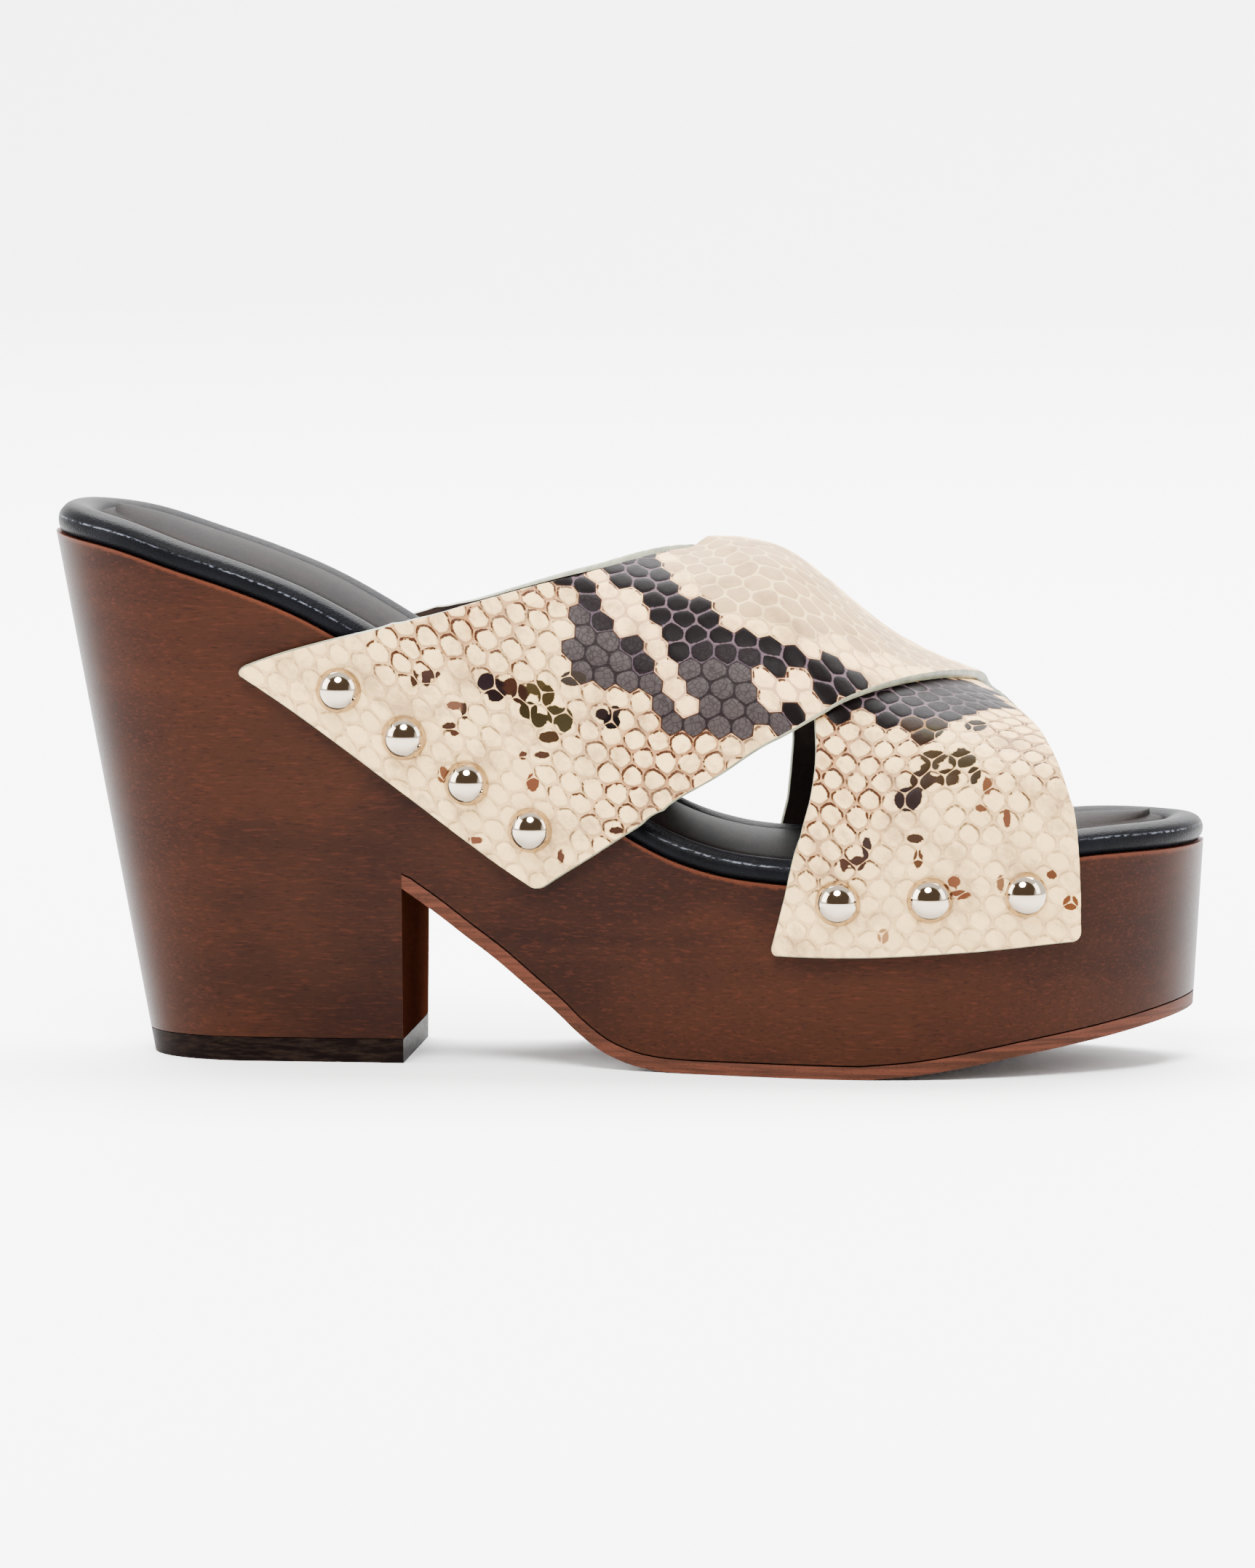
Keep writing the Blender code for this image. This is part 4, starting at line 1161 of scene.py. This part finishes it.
def snake_material():
    f = Finish("snake_leather", Roughness=0.42, Specular_IOR_Level=0.025)
    tone = f.attribute("scale_tone", "Color")
    width, ink, wrinkles = f.split(f.attribute("scale_style", "Color"))
    edge = f.attribute("edge_mm")
    skin = f.attribute("skin", "Vector")
    along, up, _ = f.split(f.vector("SUBTRACT", skin, f.attribute("scale_centre", "Vector")), "XYZ")
    rough = f.noise(skin, 1400, 3, 0.6) - 0.5
    ragged = edge + rough * 0.42
    cloud = f.step(f.noise(skin, 160, 3, 0.55), 0.35, 0.75)
    mottled = f.mix(cloud * 0.35, tone, f.mix(1.0, tone, (0.90, 0.84, 0.74), "MULTIPLY"))
    # painted shade: the colour is darkened along the fine crazes of the finish, by the wrinkle strength
    crazed = 1 - f.step(f.cracks(skin, 900), 0.015, 0.10)
    shaded_in_crazes = f.mix(1.0, mottled, 1 - crazed * (wrinkles * 0.42), "MULTIPLY")
    line_share = 1 - f.step(ragged, width - 0.07, width + 0.10)
    base = f.mix(line_share, shaded_in_crazes, f.attribute("scale_line", "Color"))
    # brown ink gathers in the grooves, most at a scale's upper left, and is broken up
    band = f.step(ragged, -0.05, 0.12) * (1 - f.step(ragged, 0.30, 0.62))
    upper_side = f.step(up * 1000 - along * 350, -1.6, 1.5)
    broken = f.step(f.noise(skin, 420, 3, 0.62), 0.40, 0.56)
    amount = (band * broken * (ink * 2.4 * (upper_side + 0.2))).held()
    fine = f.step(f.noise(skin, 3600, 3, 0.6), 0.35, 0.65)
    brown = f.mix(fine, shown((138, 88, 54), 1.0), shown((74, 44, 32), 1.0))
    stain = (f.step(f.noise(skin, 230, 4, 0.65), 0.46, 0.70) * ink * 0.55).held()
    base = f.mix(stain, base, shown((196, 156, 108)))
    base = f.mix(amount, base, brown)
    # soft grey-beige clouds over the pale parts
    pale = f.step(f.split(tone)[0], 0.18, 0.30)
    smudge = f.step(f.noise(skin, 110, 5, 0.70), 0.46, 0.68) * pale * 0.6
    base = f.mix(smudge, base, shown((196, 178, 152)))
    # small dark spots, cut up by the pale lines between scales
    spot = 1 - f.step(f.attribute("spot_mm") + rough * 0.5, -0.10, 0.10)
    base = f.mix(spot * f.step(edge, 0.0, 0.08), base, f.attribute("spot_tone", "Color"))
    f.set(Base_Color=base, Roughness=f.noise(skin, 700, 3) * 0.24 + 0.26)
    groove = f.step(edge, 0.0, 0.45) * (ink * 0.5 + 0.3).held()
    f.bump(groove + f.noise(skin, 2400, 4, 0.6) * 0.25 - crazed * (wrinkles * 0.4), 0.00012, 0.8)
    return f.material


def wood_material(name, gloss, light):
    """Stained wood: polished outside, dull and a little lighter on the sawn faces under the arch."""
    f = Finish(name, Roughness=0.36, Specular_IOR_Level=gloss)
    bands = f.noise(f.place(5.0, 30.0, 62.0), 1.0, 4, 0.6, 0.6)
    fibres = f.noise(f.place(260.0, 1500.0, 2100.0), 1.0, 3, 0.6)
    pores = f.noise(f.place(420.0, 2400.0, 3600.0), 1.0, 2, 0.5)
    speckle = f.noise(f.place(900.0, 900.0, 900.0), 1.0, 3, 0.6)
    # a paler band along the top edge of the wood, broken up by speckle
    top_edge_band = 1 - f.step(f.attribute("below_top_mm") + speckle * 0.9, 0.75, 1.5)
    base = f.tones(f.noise(f.place(1.0, 1.0, 1.6), 26, 3, 0.5), 0.36, 0.66, WOOD_DARK, WOOD_WARM)
    for share, colour in (
        (f.step(bands, 0.42, 0.66) * 0.42, WOOD_RED),
        (f.step(fibres, 0.50, 0.72) * 0.34, WOOD_LIGHT),
        (f.step(pores, 0.56, 0.72) * 0.5, WOOD_PORE),
        (top_edge_band * 0.42, WOOD_TOP_EDGE),
        (light, WOOD_LIGHT),
    ):
        base = f.mix(share, base, shown(colour))
    f.set(Base_Color=base, Roughness=fibres * 0.22 + 0.30)
    f.bump(fibres * 0.6 + pores * 0.5, 0.00010, 0.35)
    return f.material


def outsole_material():
    f = Finish("outsole_finish", Roughness=0.62, Specular_IOR_Level=0.08)
    grit = f.noise(f.place(), 2600, 3, 0.6)
    streak = f.noise(f.place(60.0, 60.0, 1400.0), 1.0, 3, 0.6)
    base = f.tones(streak, 0.35, 0.68, OUTSOLE_DARK, OUTSOLE_LIGHT)
    f.set(Base_Color=f.mix(f.step(grit, 0.58, 0.7) * 0.6, base, shown(WOOD_PORE)))
    f.bump(grit, 0.00012, 0.5)
    return f.material


def lift_material():
    f = Finish("lift_finish", Specular_IOR_Level=0.012)
    streak = f.noise(f.place(220.0, 220.0, 1500.0), 1.0, 4, 0.6)
    f.set(Base_Color=f.tones(streak, 0.40, 0.72, LIFT_DARK, LIFT_LIGHT), Roughness=streak * 0.25 + 0.34)
    f.bump(f.noise(f.place(), 3000, 3, 0.6), 0.00010, 0.5)
    return f.material


def leather_material(name, dark, light, roughness, grain, gloss, glint=False):
    """Smooth black leather with pebbled grain, and on the rim a painted highlight: a silvery line of light round
    its shoulder.
    """
    f = Finish(name, Specular_IOR_Level=gloss)
    fine = f.noise(f.place(), grain * 2.2, 3, 0.6)
    base = f.tones(f.noise(f.place(), 90, 3, 0.55), 0.35, 0.68, dark, light)
    if glint:
        # painted highlight: a broken pale line 3.75 mm above the wood's top, in place of light caught on the rim's
        # fold
        crinkle = f.noise(f.place(700.0, 700.0, 1800.0), 1.0, 3, 0.6)
        from_line = abs(f.attribute("above_top_mm") + crinkle * 0.5 - 3.75)
        line = (1 - f.step(from_line, 0.04, 0.26)) * f.step(crinkle, 0.40, 0.58)
        line = line * f.step(f.noise(f.place(), 55, 2, 0.5), 0.36, 0.55)
        base = f.mix(line * 0.75, base, shown((176, 178, 184)))
    f.set(Base_Color=base, Roughness=fine * 0.2 + (roughness - 0.08))
    f.bump(f.step(f.cracks(f.place(), grain), 0.0, 0.25) * 0.6 + fine * 0.5, 0.00008, 0.55)
    return f.material


def matt_material(name, roughness, gloss, colours, patches, bump):
    """Two tones in soft patches, with a fine bump."""
    f = Finish(name, Roughness=roughness, Specular_IOR_Level=gloss)
    (scale, detail), (start, end) = patches
    f.set(Base_Color=f.tones(f.noise(f.place(), scale, detail, 0.6), start, end, *colours))
    noise, distance, strength = bump
    f.bump(f.noise(f.place(), *noise), distance, strength)
    return f.material


def gold_material():
    f = Finish("pale_gold", Base_Color=(0.44, 0.365, 0.275), Metallic=1.0)
    f.set(Roughness=f.noise(f.place(), 900, 4, 0.6) * 0.07 + 0.03)
    f.bump(f.noise(f.place(), 500, 2, 0.4), 0.00002, 0.12)
    return f.material


# Colours on a 0 to 255 screen scale
WOOD_DARK = (60, 34, 25)
WOOD_WARM = (84, 47, 34)
WOOD_RED = (100, 56, 39)
WOOD_LIGHT = (128, 78, 56)
WOOD_PORE = (36, 20, 15)
WOOD_TOP_EDGE = (152, 100, 70)
OUTSOLE_DARK = (104, 64, 46)
OUTSOLE_LIGHT = (136, 92, 70)
LIFT_DARK = (30, 22, 20)
LIFT_LIGHT = (66, 49, 42)
PAINT = ((208, 208, 194), (184, 185, 170))
LINING = ((44, 27, 20), (78, 46, 33))

wood_finish = wood_material("wood_finish", 0.045, 0.0)
wood_sawn = wood_material("wood_sawn", 0.0, 0.3)
outsole_finish = outsole_material()
lift_finish = lift_material()
rim_leather = leather_material("rim_leather", (16, 17, 21), (26, 27, 32), 0.40, 1500, 0.035, glint=True)
sock_leather = leather_material("sock_leather", (24, 19, 19), (40, 32, 30), 0.44, 1700, 0.006)
gold = gold_material()
strap_finishes = [
    snake_material(),
    matt_material("edge_paint", 0.42, 0.4, PAINT, ((420, 3), (0.36, 0.7)), ((1500, 3, 0.5), 0.00006, 0.5)),
    matt_material("lining", 0.66, 0.25, LINING, ((130, 4), (0.34, 0.68)), ((2600, 4, 0.62), 0.00010, 0.6)),
]

PIECES = (
    (make_wood(wood_finish, wood_sawn), ("wood_sole",), "wood"),
    (make_outsole(outsole_finish), ("outsole",), "outsole"),
    (make_heel_lift(lift_finish), ("heel_lift",), "heel_lift"),
    (make_rim(rim_leather), ("footbed",), "footbed_leather"),
    (make_sock(sock_leather), ("sock",), "sock_leather"),
    (make_strap("strap_under", UNDER_STRAP, MEDIAL, False, strap_finishes, 5), ("upper",), "strap_leather"),
    (make_strap("strap_over", OVER_STRAP, LATERAL, True, strap_finishes, 3), ("upper",), "strap_leather"),
    (make_studs(gold), [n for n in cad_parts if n.startswith("stud_")], "stud_metal"),
)
for piece, nodes, slot in PIECES:
    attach(piece, "root")
    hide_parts(*nodes)
    slot == "sock_leather"

# Floor that curves up into a backdrop
curve = [(3.2 + 0.8 * math.sin(t), 0.8 - 0.8 * math.cos(t)) for t in np.linspace(0.1, 1.5, 15)]
profile = [(-3.0, 0.0), (3.2, 0.0), *curve, (4.0, 5.0)]
sheet = bmesh.new()
left, right = ([sheet.verts.new((x, y, z)) for y, z in profile] for x in (-4.0, 4.0))
for k in range(len(profile) - 1):
    sheet.faces.new((left[k], left[k + 1], right[k + 1], right[k]))
mesh = bpy.data.meshes.new("floor")
sheet.to_mesh(mesh)
sheet.free()
mesh.shade_smooth()
mesh.materials.append(Finish("pale_floor", Base_Color=(0.86, 0.86, 0.86), Roughness=0.6).material)
floor = bpy.data.objects.new("floor", mesh)
bpy.context.scene.collection.objects.link(floor)


def stand(data, place, way):
    """An object for a camera or a light that looks along a way."""
    thing = bpy.data.objects.new(data.name, data)
    bpy.context.scene.collection.objects.link(thing)
    thing.location = place
    thing.rotation_mode = "QUATERNION"
    thing.rotation_quaternion = way.to_track_quat("-Z", "Y")
    return thing


# Camera
azimuth, elevation, distance = math.radians(5.0), math.radians(5.2), 2.2
level = math.cos(elevation)
aim = Vector((-math.sin(azimuth) * level, math.cos(azimuth) * level, -math.sin(elevation)))
camera_data = bpy.data.cameras.new("camera")
camera_data.sensor_fit = "VERTICAL"
camera_data.sensor_height = 36.0
camera_data.lens = 6.82 * 2200 * 36 / 2156
bpy.context.scene.camera = stand(camera_data, Vector((SLIDE.x, SLIDE.y, 0.0544)) - aim * distance, aim)


def area_light(name, place, target, size, power, shape="RECTANGLE"):
    data = bpy.data.lights.new(name, "AREA")
    data.shape = shape
    data.size, data.size_y = size
    data.energy = power
    stand(data, place, Vector(target) - Vector(place))


area_light("key", (-0.10, -1.15, 1.65), (0, 0, 0.05), (0.95, 0.95), 125, "DISK")
area_light("side_left", (-1.6, -0.5, 0.8), (0, 0, 0.05), (0.9, 1.3), 52)
area_light("side_right", (1.6, -0.3, 0.8), (0, 0, 0.05), (0.7, 1.3), 24)
area_light("back", (0.0, 0.9, 1.9), (0, 0.5, 0.1), (2.4, 1.2), 260)
area_light("backdrop", (0.0, 2.4, 2.4), (0, 3.3, 0.2), (3.0, 1.2), 330)

# The studio round the shoe: pale all over, with the dark of the room in front, where the camera stands
world = bpy.data.worlds.new("studio")
bpy.context.scene.world = world
world.use_nodes = True
studio = Nodes(world.node_tree)
x, y, z = studio.split(Wire(studio.add("TexCoord").outputs["Generated"]), "XYZ")
dark = studio.step(y, -0.20, -0.36)
for value, start, end in ((x, -0.92, -0.76), (x, 0.92, 0.76), (z, -0.02, 0.04), (z, 0.985, 0.93)):
    dark = dark * studio.step(value, start, end)
shade = studio.mix(dark, (2.1, 2.1, 2.1), (0.20, 0.15, 0.11))
seen = Wire(studio.add("LightPath").outputs["Is Camera Ray"])
background = world.node_tree.nodes["Background"]
put(studio.mix(seen, shade, (4.0, 4.0, 4.0)), background.inputs["Color"])
background.inputs["Strength"].default_value = 1.0
